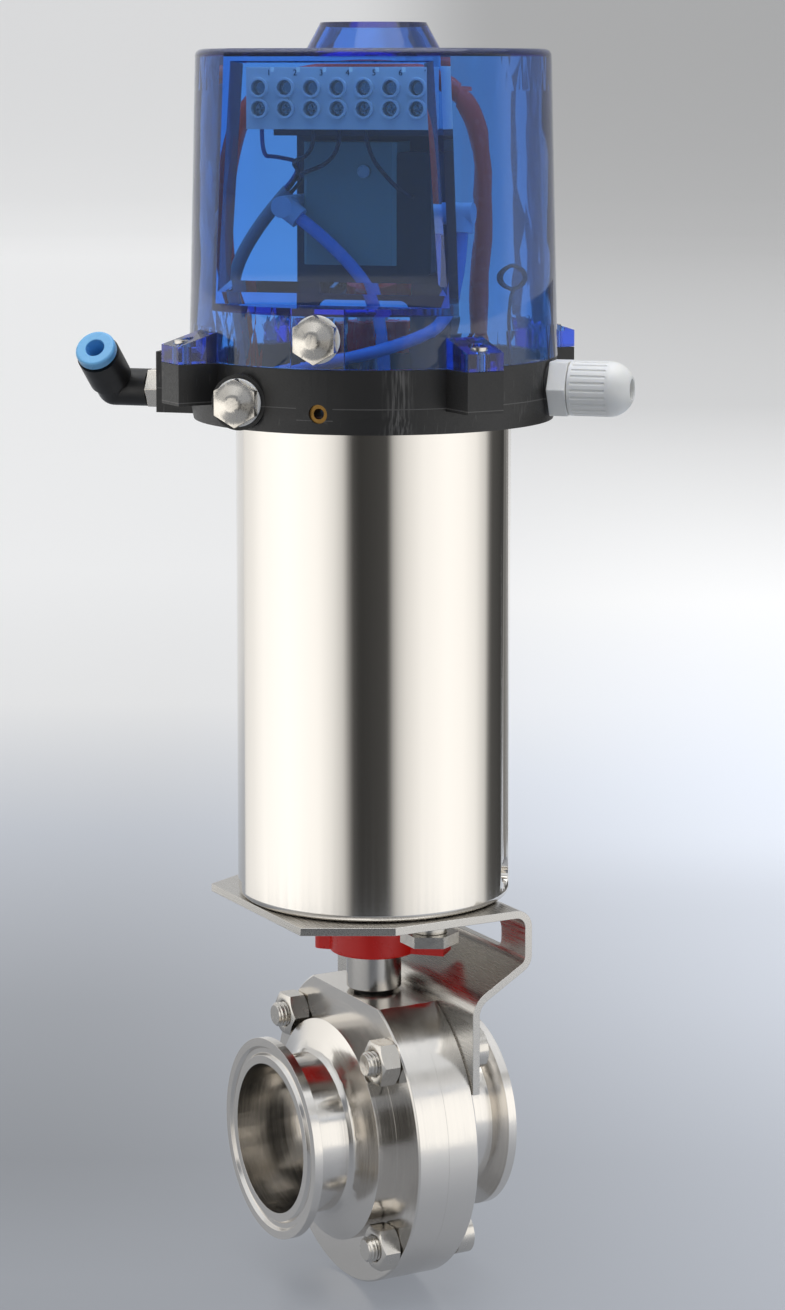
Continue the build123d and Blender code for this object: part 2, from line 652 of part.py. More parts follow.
# Piston with a long hub round the shaft sleeve; the rods keep it from turning
seal_z = PISTON_Z + PISTON_H / 2 - SEAL_H / 2
with BuildPart() as piston:
    with BuildSketch(Plane.XY.offset(PISTON_Z)):
        Circle(PISTON_R)
    extrude(amount=PISTON_H)
    with BuildSketch(Plane.XY.offset(PISTON_Z)):
        Circle(PISTON_HUB_R)
    extrude(amount=PISTON_HUB_H)
    with BuildSketch(Plane.XY.offset(PISTON_Z)):
        Circle(SLEEVE_OUTER_R + RUNNING)
        with GridLocations(0, ROD_SPACING, 1, 2):
            Circle(ROD_R + RUNNING)
    extrude(amount=PISTON_HUB_H, mode=Mode.SUBTRACT)
    with BuildSketch(Plane.XY.offset(PISTON_Z)):
        Circle(SHAFT_FLANGE_R + APART)
    extrude(amount=SHAFT_FLANGE_H + APART, mode=Mode.SUBTRACT)
    with BuildSketch(Plane.XY.offset(seal_z)):
        Circle(PISTON_R + 1)
        Circle(PISTON_R - SEAL_DEPTH, mode=Mode.SUBTRACT)
    extrude(amount=SEAL_H, mode=Mode.SUBTRACT)
    with BuildSketch(Plane.YZ.offset(-PISTON_HUB_R)):
        with Locations((0, PIN_Z)):
            Circle(PIN_R + SEATED)
    extrude(amount=2 * PISTON_HUB_R, mode=Mode.SUBTRACT)
save(piston, "piston")

with BuildPart() as piston_seal:
    with BuildSketch(Plane.XY.offset(seal_z + SEATED)):
        Circle(CYLINDER_IN_R - RUNNING)
        Circle(PISTON_R - SEAL_DEPTH + SEATED, mode=Mode.SUBTRACT)
    extrude(amount=SEAL_H - 2 * SEATED)
save(piston_seal, "piston_seal")

pin_inner_r = SLEEVE_INNER_R + 1
with BuildPart() as drive_pins:
    for side in (-1, 1):
        with BuildSketch(Plane(origin=(side * pin_inner_r, 0, PIN_Z), x_dir=(0, 1, 0), z_dir=(side, 0, 0))):
            Circle(PIN_R)
        extrude(amount=PISTON_HUB_R - pin_inner_r - 0.2)
save(drive_pins, "drive_pins")

# Drive shaft: square tongue, journal, flange, sleeve with two helical slots, and the rod up to the cam
over = PIN_R + 1.0
slot_radius = (SLEEVE_INNER_R + SLEEVE_OUTER_R) / 2
slot_path = Helix(pitch=STROKE * 360 / TURN, height=STROKE + 2 * over, radius=slot_radius, mode=Mode.PRIVATE)
slot_path = Pos(0, 0, PIN_Z - over) * Rot(0, 0, -TURN * over / STROKE) * slot_path
with BuildPart() as slot_tool:
    with BuildSketch(Plane(origin=slot_path @ 0, x_dir=Vector((slot_path @ 0).X, (slot_path @ 0).Y, 0).normalized(),
                           z_dir=slot_path % 0)):
        Rectangle(SLEEVE_OUTER_R - SLEEVE_INNER_R + 3, 2 * (PIN_R + SLOT_CLEARANCE))
    sweep(path=slot_path, is_frenet=True)
with BuildPart() as drive_shaft:
    with BuildSketch(Plane.XY.offset(COUPLING_TOP_Z - DRIVE_SQUARE_H)):
        Rectangle(DRIVE_SQUARE, DRIVE_SQUARE)
    extrude(amount=DRIVE_SQUARE_H + 2)
    with BuildSketch(Plane.XZ):
        with BuildLine():
            Polyline(
                (0, COUPLING_TOP_Z + APART), (JOURNAL_R, COUPLING_TOP_Z + APART), (JOURNAL_R, PISTON_Z),
                (SHAFT_FLANGE_R, PISTON_Z), (SHAFT_FLANGE_R, PISTON_Z + SHAFT_FLANGE_H),
                (SLEEVE_OUTER_R, PISTON_Z + SHAFT_FLANGE_H), (SLEEVE_OUTER_R, SHAFT_SLEEVE_TOP_Z),
                (TOP_ROD_R, SHAFT_SLEEVE_TOP_Z + 4), (TOP_ROD_R, TOP_ROD_Z), (0, TOP_ROD_Z), close=True)
        make_face()
    revolve(axis=Axis.Z)
    with BuildSketch(Plane.XY.offset(PISTON_Z + SHAFT_FLANGE_H)):
        Circle(SLEEVE_INNER_R)
    extrude(amount=SHAFT_SLEEVE_TOP_Z - PISTON_Z - SHAFT_FLANGE_H - 3, mode=Mode.SUBTRACT)
    add(slot_tool.part, mode=Mode.SUBTRACT)
    add(slot_tool.part, rotation=(0, 0, 180), mode=Mode.SUBTRACT)
save(drive_shaft, "drive_shaft")

spring_low = PISTON_Z + PISTON_H + SPRING_WIRE / 2 + APART
spring_high = LID_LOW_Z - SPRING_WIRE / 2 - APART
spring_path = Pos(0, 0, spring_low) * Helix(pitch=(spring_high - spring_low) / SPRING_TURNS,
                                            height=spring_high - spring_low, radius=SPRING_R, mode=Mode.PRIVATE)
with BuildPart() as return_spring:
    with BuildSketch(Plane(origin=spring_path @ 0, x_dir=(1, 0, 0), z_dir=spring_path % 0)):
        Circle(SPRING_WIRE / 2)
    sweep(path=spring_path, is_frenet=True)
save(return_spring, "return_spring")

# Base housing of the control head
wall_in_r = BASE_R - BASE_WALL
with BuildPart() as head_base:
    with BuildSketch(Plane.XZ):
        with BuildLine():
            Polyline((0, BASE_Z), (BASE_LOW_R, BASE_Z), (BASE_R, BASE_Z + 6), (BASE_R, BASE_TOP_Z), (0, BASE_TOP_Z),
                     close=True)
        make_face()
    revolve(axis=Axis.Z)
    with BuildSketch(Plane.XY.offset(BASE_TOP_Z)):
        with PolarLocations(0, 4):
            with Locations(((BASE_R + LUG_END_R) / 2 - 3, 0)):
                Rectangle(LUG_END_R - BASE_R + 6, 2 * LUG_HALF_W)
    extrude(amount=-BASE_LUG_H)
    with BuildSketch(level(BASE_Z, ELBOW_ANGLE)):
        with Locations(((ELBOW_SEAT_R + BASE_R) / 2 - 4, 0)):
            Rectangle(ELBOW_SEAT_R - BASE_R + 8, 2 * ELBOW_BOSS_HALF_W)
    extrude(amount=BASE_TOP_Z - BASE_Z)
    with BuildSketch(facing(GLAND_ANGLE, GLAND_SEAT_R, 0, GLAND_Z)):
        Circle(GLAND_BOSS_R)
    extrude(amount=-6)
    with BuildSketch(facing(WINDOW_ANGLE, BASE_PLUG_N, BASE_PLUG_SIDE, BASE_PLUG_Z)):
        Circle(BASE_PLUG_BOSS_R)
    extrude(amount=-BASE_PLUG_BOSS_L)
    with BuildSketch(Plane.XY.offset(FLOOR_TOP_Z)):
        Circle(BASE_R - BASE_WALL)
    extrude(amount=BASE_TOP_Z - FLOOR_TOP_Z + 1, mode=Mode.SUBTRACT)
    with BuildSketch(Plane.XY.offset(BASE_Z)):
        Circle(TOP_ROD_R + 1)
        with PolarLocations(BASE_SCREW_PCD / 2, 4, start_angle=45):
            Circle(BASE_SCREW_R + 0.2)
    extrude(amount=BASE_FLOOR, mode=Mode.SUBTRACT)
    with BuildSketch(Plane.XY.offset(BASE_TOP_Z)):
        Circle(BASE_R - BASE_WALL / 2 + SEAL_RING_W / 2)
        Circle(BASE_R - BASE_WALL / 2 - SEAL_RING_W / 2, mode=Mode.SUBTRACT)
    extrude(amount=-SEAL_RING_H, mode=Mode.SUBTRACT)
    with BuildSketch(Plane.XY.offset(BASE_TOP_Z)):
        with PolarLocations(LUG_SCREW_R, 4):
            Circle(COVER_SCREW_R + 0.15)
    extrude(amount=-BASE_LUG_H + 1.5, mode=Mode.SUBTRACT)
    with BuildSketch(facing(GLAND_ANGLE, GLAND_SEAT_R + 1, 0, GLAND_Z)):
        Circle(GLAND_THREAD_R + SEATED)
    extrude(amount=-GLAND_THREAD_L - 2.6, mode=Mode.SUBTRACT)
    with BuildSketch(facing(ELBOW_ANGLE, ELBOW_SEAT_R + 1, 0, ELBOW_Z)):
        Circle(ELBOW_THREAD_R + SEATED)
    extrude(amount=-ELBOW_THREAD_L - 2, mode=Mode.SUBTRACT)
    with BuildSketch(facing(ELBOW_ANGLE, ELBOW_SEAT_R + 1, 0, ELBOW_Z)):
        Circle(2.0)
    extrude(amount=wall_in_r - ELBOW_SEAT_R - 3.7, mode=Mode.SUBTRACT)
    with BuildSketch(facing(WINDOW_ANGLE, BASE_PLUG_N + 1, BASE_PLUG_SIDE, BASE_PLUG_Z)):
        Circle(PLUG_THREAD_R + SEATED)
    extrude(amount=-BASE_PLUG_BOSS_L - 2, mode=Mode.SUBTRACT)
    with BuildSketch(facing(WINDOW_ANGLE, BASE_LOW_R + 2, 0, INSERT_Z)):
        Circle(INSERT_R + SEATED)
    extrude(amount=-INSERT_L - 2, mode=Mode.SUBTRACT)
save(head_base, "head_base")

with BuildPart() as base_screws:
    with BuildSketch(Plane.XY.offset(FLOOR_TOP_Z)):
        with PolarLocations(BASE_SCREW_PCD / 2, 4, start_angle=45):
            Circle(BASE_SCREW_HEAD_R)
    extrude(amount=BASE_SCREW_HEAD_H)
    with BuildSketch(Plane.XY.offset(FLOOR_TOP_Z)):
        with PolarLocations(BASE_SCREW_PCD / 2, 4, start_angle=45):
            Circle(BASE_SCREW_R)
    extrude(amount=-BASE_SCREW_LENGTH)
save(base_screws, "base_screws")

with BuildPart() as cover_seal:
    with BuildSketch(Plane.XY.offset(BASE_TOP_Z)):
        Circle(BASE_R - BASE_WALL / 2 + SEAL_RING_W / 2 - SEATED)
        Circle(BASE_R - BASE_WALL / 2 - SEAL_RING_W / 2 + SEATED, mode=Mode.SUBTRACT)
    extrude(amount=-SEAL_RING_H)
save(cover_seal, "cover_seal")

# Transparent cover: tapered drum with a flat window, a raised pad, four lugs and a low dome
inner_low_r = COVER_LOW_R - COVER_WALL
inner_top_r = COVER_TOP_R - COVER_WALL
with BuildPart() as cover_hollow:
    with BuildSketch(Plane.XZ):
        with BuildLine():
            Polyline((0, COVER_Z - 1), (inner_low_r, COVER_Z - 1), (inner_top_r, COVER_TOP_Z - COVER_WALL),
                     (DOME_LOW_R - COVER_WALL, COVER_TOP_Z - COVER_WALL),
                     (DOME_TOP_R - COVER_WALL, COVER_TOP_Z + DOME_H - COVER_WALL),
                     (0, COVER_TOP_Z + DOME_H - COVER_WALL), close=True)
        make_face()
    revolve(axis=Axis.Z)
    with BuildSketch(level(WINDOW_SILL_Z - COVER_WALL)):
        with Locations((WINDOW_N - PANE_RECESS - COVER_WALL + 20, 0)):
            Rectangle(40, 130)
    extrude(amount=100, mode=Mode.SUBTRACT)
with BuildPart() as cover:
    with BuildSketch(Plane.XZ):
        with BuildLine():
            Polyline((0, COVER_Z), (COVER_LOW_R, COVER_Z), (COVER_TOP_R, COVER_TOP_Z), (0, COVER_TOP_Z),
                     close=True)
        make_face()
    revolve(axis=Axis.Z)
    with BuildSketch(level(WINDOW_SILL_Z)):
        with Locations((WINDOW_N + 20, 0)):
            Rectangle(40, 130)
    extrude(amount=100, mode=Mode.SUBTRACT)
    fillet(cover.edges().group_by(Axis.Z)[-1], COVER_EDGE)
    with BuildSketch(Plane.XZ):
        with BuildLine():
            Polyline((0, COVER_TOP_Z - 1), (DOME_LOW_R, COVER_TOP_Z - 1), (DOME_LOW_R, COVER_TOP_Z),
                     (DOME_TOP_R, COVER_TOP_Z + DOME_H), (0, COVER_TOP_Z + DOME_H), close=True)
        make_face()
    revolve(axis=Axis.Z)
    with BuildSketch(level(COVER_Z)):
        with Locations((PAD_N - 5, 0)):
            Rectangle(10, 2 * PAD_HALF_W)
    extrude(amount=WINDOW_SILL_Z - COVER_Z)
    for quarter in range(4):
        with BuildSketch(upright(90 * quarter)):
            with BuildLine():
                Polyline((COVER_LOW_R - 5, COVER_Z), (LUG_END_R, COVER_Z), (LUG_END_R, COVER_Z + LUG_OUTER_H),
                         (COVER_LOW_R - 1, COVER_Z + LUG_INNER_H), (COVER_LOW_R - 5, COVER_Z + LUG_INNER_H),
                         close=True)
            make_face()
        extrude(amount=LUG_HALF_W, both=True)
    with BuildSketch(facing(WINDOW_ANGLE, WINDOW_N)):
        Polygon((-PANE_LOW_HALF_W - PANE_BEVEL, PANE_LOW_Z - PANE_BEVEL),
                (PANE_LOW_HALF_W + PANE_BEVEL, PANE_LOW_Z - PANE_BEVEL),
                (PANE_TOP_HALF_W + PANE_BEVEL, PANE_TOP_Z + 0.8),
                (-PANE_TOP_HALF_W - PANE_BEVEL, PANE_TOP_Z + 0.8), align=None)
    with BuildSketch(facing(WINDOW_ANGLE, WINDOW_N - PANE_RECESS)):
        Polygon((-PANE_LOW_HALF_W, PANE_LOW_Z), (PANE_LOW_HALF_W, PANE_LOW_Z), (PANE_TOP_HALF_W, PANE_TOP_Z),
                (-PANE_TOP_HALF_W, PANE_TOP_Z), align=None)
    loft(mode=Mode.SUBTRACT)
    add(cover_hollow.part, mode=Mode.SUBTRACT)
    with BuildSketch(Plane.XY.offset(COVER_Z)):
        with PolarLocations(LUG_SCREW_R, 4):
            Circle(COVER_SCREW_R + SEATED)
    extrude(amount=LUG_INNER_H, mode=Mode.SUBTRACT)
    with BuildSketch(Plane.XY.offset(LUG_SEAT_Z)):
        with PolarLocations(LUG_SCREW_R, 4):
            Circle(COVER_SCREW_HEAD_R + 0.2)
    extrude(amount=LUG_INNER_H, mode=Mode.SUBTRACT)
    with BuildSketch(facing(WINDOW_ANGLE, PAD_N + 1, 0, COVER_PLUG_Z)):
        Circle(PLUG_THREAD_R + SEATED)
    extrude(amount=-8, mode=Mode.SUBTRACT)
save(cover, "cover")

with BuildPart() as cover_screws:
    with BuildSketch(Plane.XY.offset(LUG_SEAT_Z)):
        with PolarLocations(LUG_SCREW_R, 4):
            Circle(COVER_SCREW_HEAD_R)
    extrude(amount=COVER_SCREW_HEAD_H)
    with BuildSketch(Plane.XY.offset(LUG_SEAT_Z + COVER_SCREW_HEAD_H)):
        with PolarLocations(LUG_SCREW_R, 4):
            RegularPolygon(1.25, 6, major_radius=False)
    extrude(amount=-1.2, mode=Mode.SUBTRACT)
    with BuildSketch(Plane.XY.offset(LUG_SEAT_Z)):
        with PolarLocations(LUG_SCREW_R, 4):
            Circle(COVER_SCREW_R)
    extrude(amount=-COVER_SCREW_LENGTH)
save(cover_screws, "cover_screws")

# Vent plugs: washer, hexagon, machined cone and threaded shank, one in the base and one in the cover
for name, out, side, up, shank in (("base_vent", BASE_PLUG_N, BASE_PLUG_SIDE, BASE_PLUG_Z, 7.0),
                                   ("cover_vent", PAD_N, 0.0, COVER_PLUG_Z, 4.5)):
    with BuildPart() as plug:
        seat = facing(WINDOW_ANGLE, out + PLUG_WASHER_T, side, up)
        with BuildSketch(seat):
            RegularPolygon(PLUG_FLATS / 2, 6, major_radius=False, rotation=30)
        extrude(amount=PLUG_HEX_H)
        with BuildSketch(seat.offset(PLUG_HEX_H)):
            Circle(PLUG_FLATS / 2)
        with BuildSketch(seat.offset(PLUG_HEX_H + PLUG_CONE_H)):
            Circle(PLUG_FACE_R)
        loft()
        with BuildSketch(seat):
            Circle(PLUG_THREAD_R)
        extrude(amount=-PLUG_WASHER_T - shank)
        with BuildSketch(seat.offset(-PLUG_WASHER_T - shank)):
            Circle(2.2)
        extrude(amount=shank, mode=Mode.SUBTRACT)
    save(plug, name + "_plug")
    with BuildPart() as washer:
        with BuildSketch(facing(WINDOW_ANGLE, out, side, up)):
            Circle(PLUG_WASHER_R)
            Circle(PLUG_THREAD_R + SEATED, mode=Mode.SUBTRACT)
        extrude(amount=PLUG_WASHER_T)
    save(washer, name + "_washer")

with BuildPart() as brass_insert:
    with BuildSketch(facing(WINDOW_ANGLE, BASE_LOW_R, 0, INSERT_Z)):
        Circle(INSERT_R)
        Circle(INSERT_HOLE_R, mode=Mode.SUBTRACT)
    extrude(amount=-INSERT_L)
save(brass_insert, "brass_insert")

# Cable gland: body with hexagon, lock nut inside, ribbed dome nut, rubber seal
with BuildPart() as gland_body:
    with BuildSketch(facing(GLAND_ANGLE, GLAND_SEAT_R, 0, GLAND_Z)):
        RegularPolygon(GLAND_FLATS / 2, 6, major_radius=False)
    extrude(amount=GLAND_HEX_H)
    with BuildSketch(facing(GLAND_ANGLE, GLAND_SEAT_R, 0, GLAND_Z)):
        Circle(GLAND_THREAD_R)
    extrude(amount=-GLAND_THREAD_L)
    with BuildSketch(facing(GLAND_ANGLE, GLAND_SEAT_R + GLAND_HEX_H, 0, GLAND_Z)):
        Circle(GLAND_COLLAR_R)
    extrude(amount=GLAND_COLLAR_L)
    with BuildSketch(facing(GLAND_ANGLE, GLAND_SEAT_R - GLAND_THREAD_L, 0, GLAND_Z)):
        Circle(GLAND_BORE_R)
    extrude(amount=GLAND_THREAD_L + GLAND_HEX_H + GLAND_COLLAR_L + 1, mode=Mode.SUBTRACT)
save(gland_body, "gland_body")

nut_start = GLAND_SEAT_R + GLAND_HEX_H + APART
nut_end = nut_start + GLAND_NUT_L
straight_end = nut_start + GLAND_NUT_STRAIGHT
with BuildPart() as gland_nut:
    with BuildSketch(upright(GLAND_ANGLE)):
        with BuildLine():
            bore = GLAND_COLLAR_R + APART
            Line((nut_start, GLAND_Z + bore), (nut_start, GLAND_Z + GLAND_NUT_R))
            Line((nut_start, GLAND_Z + GLAND_NUT_R), (straight_end, GLAND_Z + GLAND_NUT_R))
            RadiusArc((straight_end, GLAND_Z + GLAND_NUT_R), (nut_end, GLAND_Z + GLAND_BORE_R + 0.8), 8.0)
            Line((nut_end, GLAND_Z + GLAND_BORE_R + 0.8), (nut_end, GLAND_Z + GLAND_BORE_R + 0.1))
            Polyline((nut_end, GLAND_Z + GLAND_BORE_R + 0.1), (straight_end + 2, GLAND_Z + GLAND_BORE_R + 0.1),
                     (straight_end - 1, GLAND_Z + bore), (nut_start, GLAND_Z + bore))
        make_face()
    revolve(axis=Axis(origin=facing(GLAND_ANGLE, 0, 0, GLAND_Z).origin, direction=facing(GLAND_ANGLE, 0).z_dir))
    with BuildSketch(facing(GLAND_ANGLE, nut_start + 1, 0, GLAND_Z)):
        with PolarLocations(GLAND_NUT_R + 0.25, GLAND_RIBS):
            Circle(0.6)
    extrude(amount=GLAND_NUT_STRAIGHT - 2, mode=Mode.SUBTRACT)
save(gland_nut, "gland_nut")

with BuildPart() as gland_seal:
    with BuildSketch(facing(GLAND_ANGLE, GLAND_SEAT_R + GLAND_HEX_H + GLAND_COLLAR_L, 0, GLAND_Z)):
        Circle(GLAND_COLLAR_R - 0.3)
        Circle(GLAND_BORE_R, mode=Mode.SUBTRACT)
    extrude(amount=straight_end - 1 - (GLAND_SEAT_R + GLAND_HEX_H + GLAND_COLLAR_L))
save(gland_seal, "gland_seal")

with BuildPart() as gland_locknut:
    with BuildSketch(facing(GLAND_ANGLE, wall_in_r - 1.6, 0, GLAND_Z)):
        Circle(7.2)
        Circle(GLAND_THREAD_R + SEATED, mode=Mode.SUBTRACT)
    extrude(amount=-LOCKNUT_H)
    with BuildSketch(level(FLOOR_TOP_Z + 0.1, GLAND_ANGLE)):
        with Locations((wall_in_r, 0)):
            Rectangle(30, 30)
    extrude(amount=-10, mode=Mode.SUBTRACT)
save(gland_locknut, "gland_locknut")

# Elbow fitting: hexagon with thread, swivelling elbow, push-in collet
with BuildPart() as elbow_hex:
    with BuildSketch(facing(ELBOW_ANGLE, ELBOW_SEAT_R, 0, ELBOW_Z)):
        RegularPolygon(ELBOW_FLATS / 2, 6, major_radius=False)
    extrude(amount=ELBOW_HEX_H)
    with BuildSketch(facing(ELBOW_ANGLE, ELBOW_SEAT_R, 0, ELBOW_Z)):
        Circle(ELBOW_THREAD_R)
    extrude(amount=-ELBOW_THREAD_L)
    with BuildSketch(facing(ELBOW_ANGLE, ELBOW_SEAT_R + ELBOW_HEX_H, 0, ELBOW_Z)):
        Circle(ELBOW_JOURNAL_R)
    extrude(amount=7)
    with BuildSketch(facing(ELBOW_ANGLE, ELBOW_SEAT_R - ELBOW_THREAD_L, 0, ELBOW_Z)):
        Circle(1.9)
    extrude(amount=ELBOW_THREAD_L + ELBOW_HEX_H + 8, mode=Mode.SUBTRACT)
save(elbow_hex, "elbow_hex")

swivel = facing(ELBOW_ANGLE, ELBOW_CENTRE_R, 0, ELBOW_Z)
lean = radians(ELBOW_TILT)
out_dir, side_dir = swivel.z_dir, swivel.x_dir
socket_dir = side_dir * cos(lean) + Vector(0, 0, 1) * sin(lean)
socket = Plane(origin=swivel.origin, x_dir=out_dir, z_dir=socket_dir)
barrel_start = ELBOW_SEAT_R + ELBOW_HEX_H + APART
with BuildPart() as elbow_body:
    with BuildSketch(facing(ELBOW_ANGLE, barrel_start, 0, ELBOW_Z)):
        Circle(ELBOW_BARREL_R)
    extrude(amount=ELBOW_CENTRE_R - barrel_start)
    with Locations(Location(swivel.origin)):
        Sphere(ELBOW_BARREL_R)
    with BuildSketch(socket):
        Circle(ELBOW_BARREL_R)
    extrude(amount=7)
    with BuildSketch(socket.offset(6)):
        Circle(ELBOW_SOCKET_R)
    extrude(amount=ELBOW_SOCKET_L - 6)
    with BuildSketch(facing(ELBOW_ANGLE, barrel_start, 0, ELBOW_Z)):
        Circle(ELBOW_JOURNAL_R + RUNNING)
    extrude(amount=7.5, mode=Mode.SUBTRACT)
    with BuildSketch(facing(ELBOW_ANGLE, barrel_start, 0, ELBOW_Z)):
        Circle(2.2)
    extrude(amount=ELBOW_CENTRE_R - barrel_start, mode=Mode.SUBTRACT)
    with BuildSketch(socket):
        Circle(2.2)
    extrude(amount=ELBOW_SOCKET_L, mode=Mode.SUBTRACT)
    with BuildSketch(socket.offset(ELBOW_SOCKET_L)):
        Circle(AIR_TUBE_R + 0.1)
    extrude(amount=-14, mode=Mode.SUBTRACT)
    with BuildSketch(socket.offset(ELBOW_SOCKET_L)):
        Circle(COLLET_SLEEVE_R + RUNNING)
    extrude(amount=-COLLET_SLEEVE_L - 1.5, mode=Mode.SUBTRACT)
save(elbow_body, "elbow_body")

collet_gap = COLLET_TRAVEL + APART
with BuildPart() as release_collet:
    with BuildSketch(socket.offset(ELBOW_SOCKET_L + collet_gap)):
        Circle(COLLET_R)
    extrude(amount=COLLET_H)
    fillet(release_collet.edges().sort_by(Axis(origin=swivel.origin, direction=socket_dir))[-1], 1.0)
    with BuildSketch(socket.offset(ELBOW_SOCKET_L + collet_gap)):
        Circle(COLLET_SLEEVE_R)
    extrude(amount=-COLLET_SLEEVE_L - collet_gap + 0.5)
    with BuildSketch(socket.offset(ELBOW_SOCKET_L + collet_gap + COLLET_H)):
        Circle(AIR_TUBE_R + 0.1)
    extrude(amount=-COLLET_H - collet_gap - COLLET_SLEEVE_L - 1, mode=Mode.SUBTRACT)
save(release_collet, "release_collet")

# Inner frame: one bent sheet with a foot on the base floor and a shelf for the terminal strip
with BuildPart() as inner_frame:
    with BuildSketch(upright(WINDOW_ANGLE).offset(-FRAME_HIGH_HALF)):
        with BuildLine():
            Polyline((FRAME_N + FOOT_L, FLOOR_TOP_Z), (FRAME_N, FLOOR_TOP_Z), (FRAME_N, STRIP_Z),
                     (SHELF_END_N, STRIP_Z), (SHELF_END_N, SHELF_Z), (FRAME_FACE_N, SHELF_Z),
                     (FRAME_FACE_N, FLOOR_TOP_Z + FRAME_T), (FRAME_N + FOOT_L, FLOOR_TOP_Z + FRAME_T), close=True)
        make_face()
    extrude(amount=FRAME_HIGH_HALF - FRAME_LOW_HALF)
    with BuildSketch(facing(WINDOW_ANGLE, FRAME_N)):
        with Locations((0, CAM_Z + CAM_H / 2)):
            RectangleRounded(CAM_WINDOW_W, CAM_WINDOW_H, 3)
    extrude(amount=FRAME_T, mode=Mode.SUBTRACT)
save(inner_frame, "inner_frame")

# Solenoid valve block on the frame, with its coil beside it and a manual override button
block_mid = SOLENOID_LEFT + SOLENOID_W / 2
block_face_n = FRAME_FACE_N + SOLENOID_N
button_t, button_z = block_mid + 5.0, SOLENOID_LOW_Z + SOLENOID_H - 9.0
with BuildPart() as solenoid_block:
    with BuildSketch(facing(WINDOW_ANGLE, FRAME_FACE_N)):
        with Locations((block_mid, SOLENOID_LOW_Z + SOLENOID_H / 2)):
            Rectangle(SOLENOID_W, SOLENOID_H)
    extrude(amount=SOLENOID_N)
    chamfer(solenoid_block.edges().filter_by(Axis.Z), 1.2)
    with BuildSketch(facing(WINDOW_ANGLE, block_face_n)):
        with Locations((button_t, button_z)):
            Circle(BUTTON_R + 0.1)
    extrude(amount=-BUTTON_SEAT - BUTTON_TRAVEL - 0.5, mode=Mode.SUBTRACT)
save(solenoid_block, "solenoid_block")

with BuildPart() as override_button:
    with BuildSketch(facing(WINDOW_ANGLE, block_face_n + BUTTON_PROUD)):
        with Locations((button_t, button_z)):
            Circle(BUTTON_R)
    extrude(amount=-BUTTON_PROUD - BUTTON_SEAT)
save(override_button, "override_button")

with BuildPart() as solenoid_coil:
    with BuildSketch(facing(WINDOW_ANGLE, FRAME_FACE_N)):
        with Locations((SOLENOID_LEFT + SOLENOID_W + COIL_W / 2, COIL_LOW_Z + COIL_H / 2)):
            RectangleRounded(COIL_W, COIL_H, 1.5)
    extrude(amount=COIL_N)
save(solenoid_coil, "solenoid_coil")

# Terminal strip with two rows of screw wells
strip_mid = (FRAME_LOW_HALF + FRAME_HIGH_HALF) / 2 - 2.5
strip_w = STRIP_POLES * STRIP_PITCH
with BuildPart() as terminal_strip:
    with BuildSketch(facing(WINDOW_ANGLE, STRIP_N)):
        with Locations((strip_mid, STRIP_Z + STRIP_H / 2)):
            Rectangle(strip_w, STRIP_H)
    extrude(amount=STRIP_D)
    with BuildSketch(facing(WINDOW_ANGLE, STRIP_N + STRIP_D)):
        with Locations((strip_mid, STRIP_Z + STRIP_H / 2)):
            with GridLocations(STRIP_PITCH, WELL_ROWS, STRIP_POLES, 2):
                Circle(WELL_R)
    extrude(amount=-WELL_DEPTH, mode=Mode.SUBTRACT)
    with BuildSketch(level(STRIP_Z + STRIP_H)):
        with Locations((STRIP_N + STRIP_D / 2, strip_mid)):
            with GridLocations(0, STRIP_PITCH, 1, STRIP_POLES - 1):
                Rectangle(STRIP_D, 1.2)
    extrude(amount=-1.5, mode=Mode.SUBTRACT)
save(terminal_strip, "terminal_strip")

with BuildPart() as terminal_screws:
    with BuildSketch(facing(WINDOW_ANGLE, STRIP_N + STRIP_D - WELL_DEPTH)):
        with Locations((strip_mid, STRIP_Z + STRIP_H / 2)):
            with GridLocations(STRIP_PITCH, WELL_ROWS, STRIP_POLES, 2):
                Circle(WELL_R - 0.5)
                Rectangle(3, 0.6, mode=Mode.SUBTRACT)
    extrude(amount=1.4)
save(terminal_screws, "terminal_screws")

# Cam with two lobes on the shaft; each lobe reaches one of the two switches at its end of the turn
lobe_end = CAM_LOBE_R - CAM_LOBE_W / 2
with BuildPart() as switch_cam:
    with BuildSketch(Plane.XY.offset(CAM_Z)):
        Circle(CAM_R)
        with PolarLocations(lobe_end / 2, 2, start_angle=WINDOW_ANGLE, angular_range=180):
            SlotCenterToCenter(lobe_end, CAM_LOBE_W)
        Circle(TOP_ROD_R + SEATED, mode=Mode.SUBTRACT)
    extrude(amount=CAM_H)
save(switch_cam, "switch_cam")

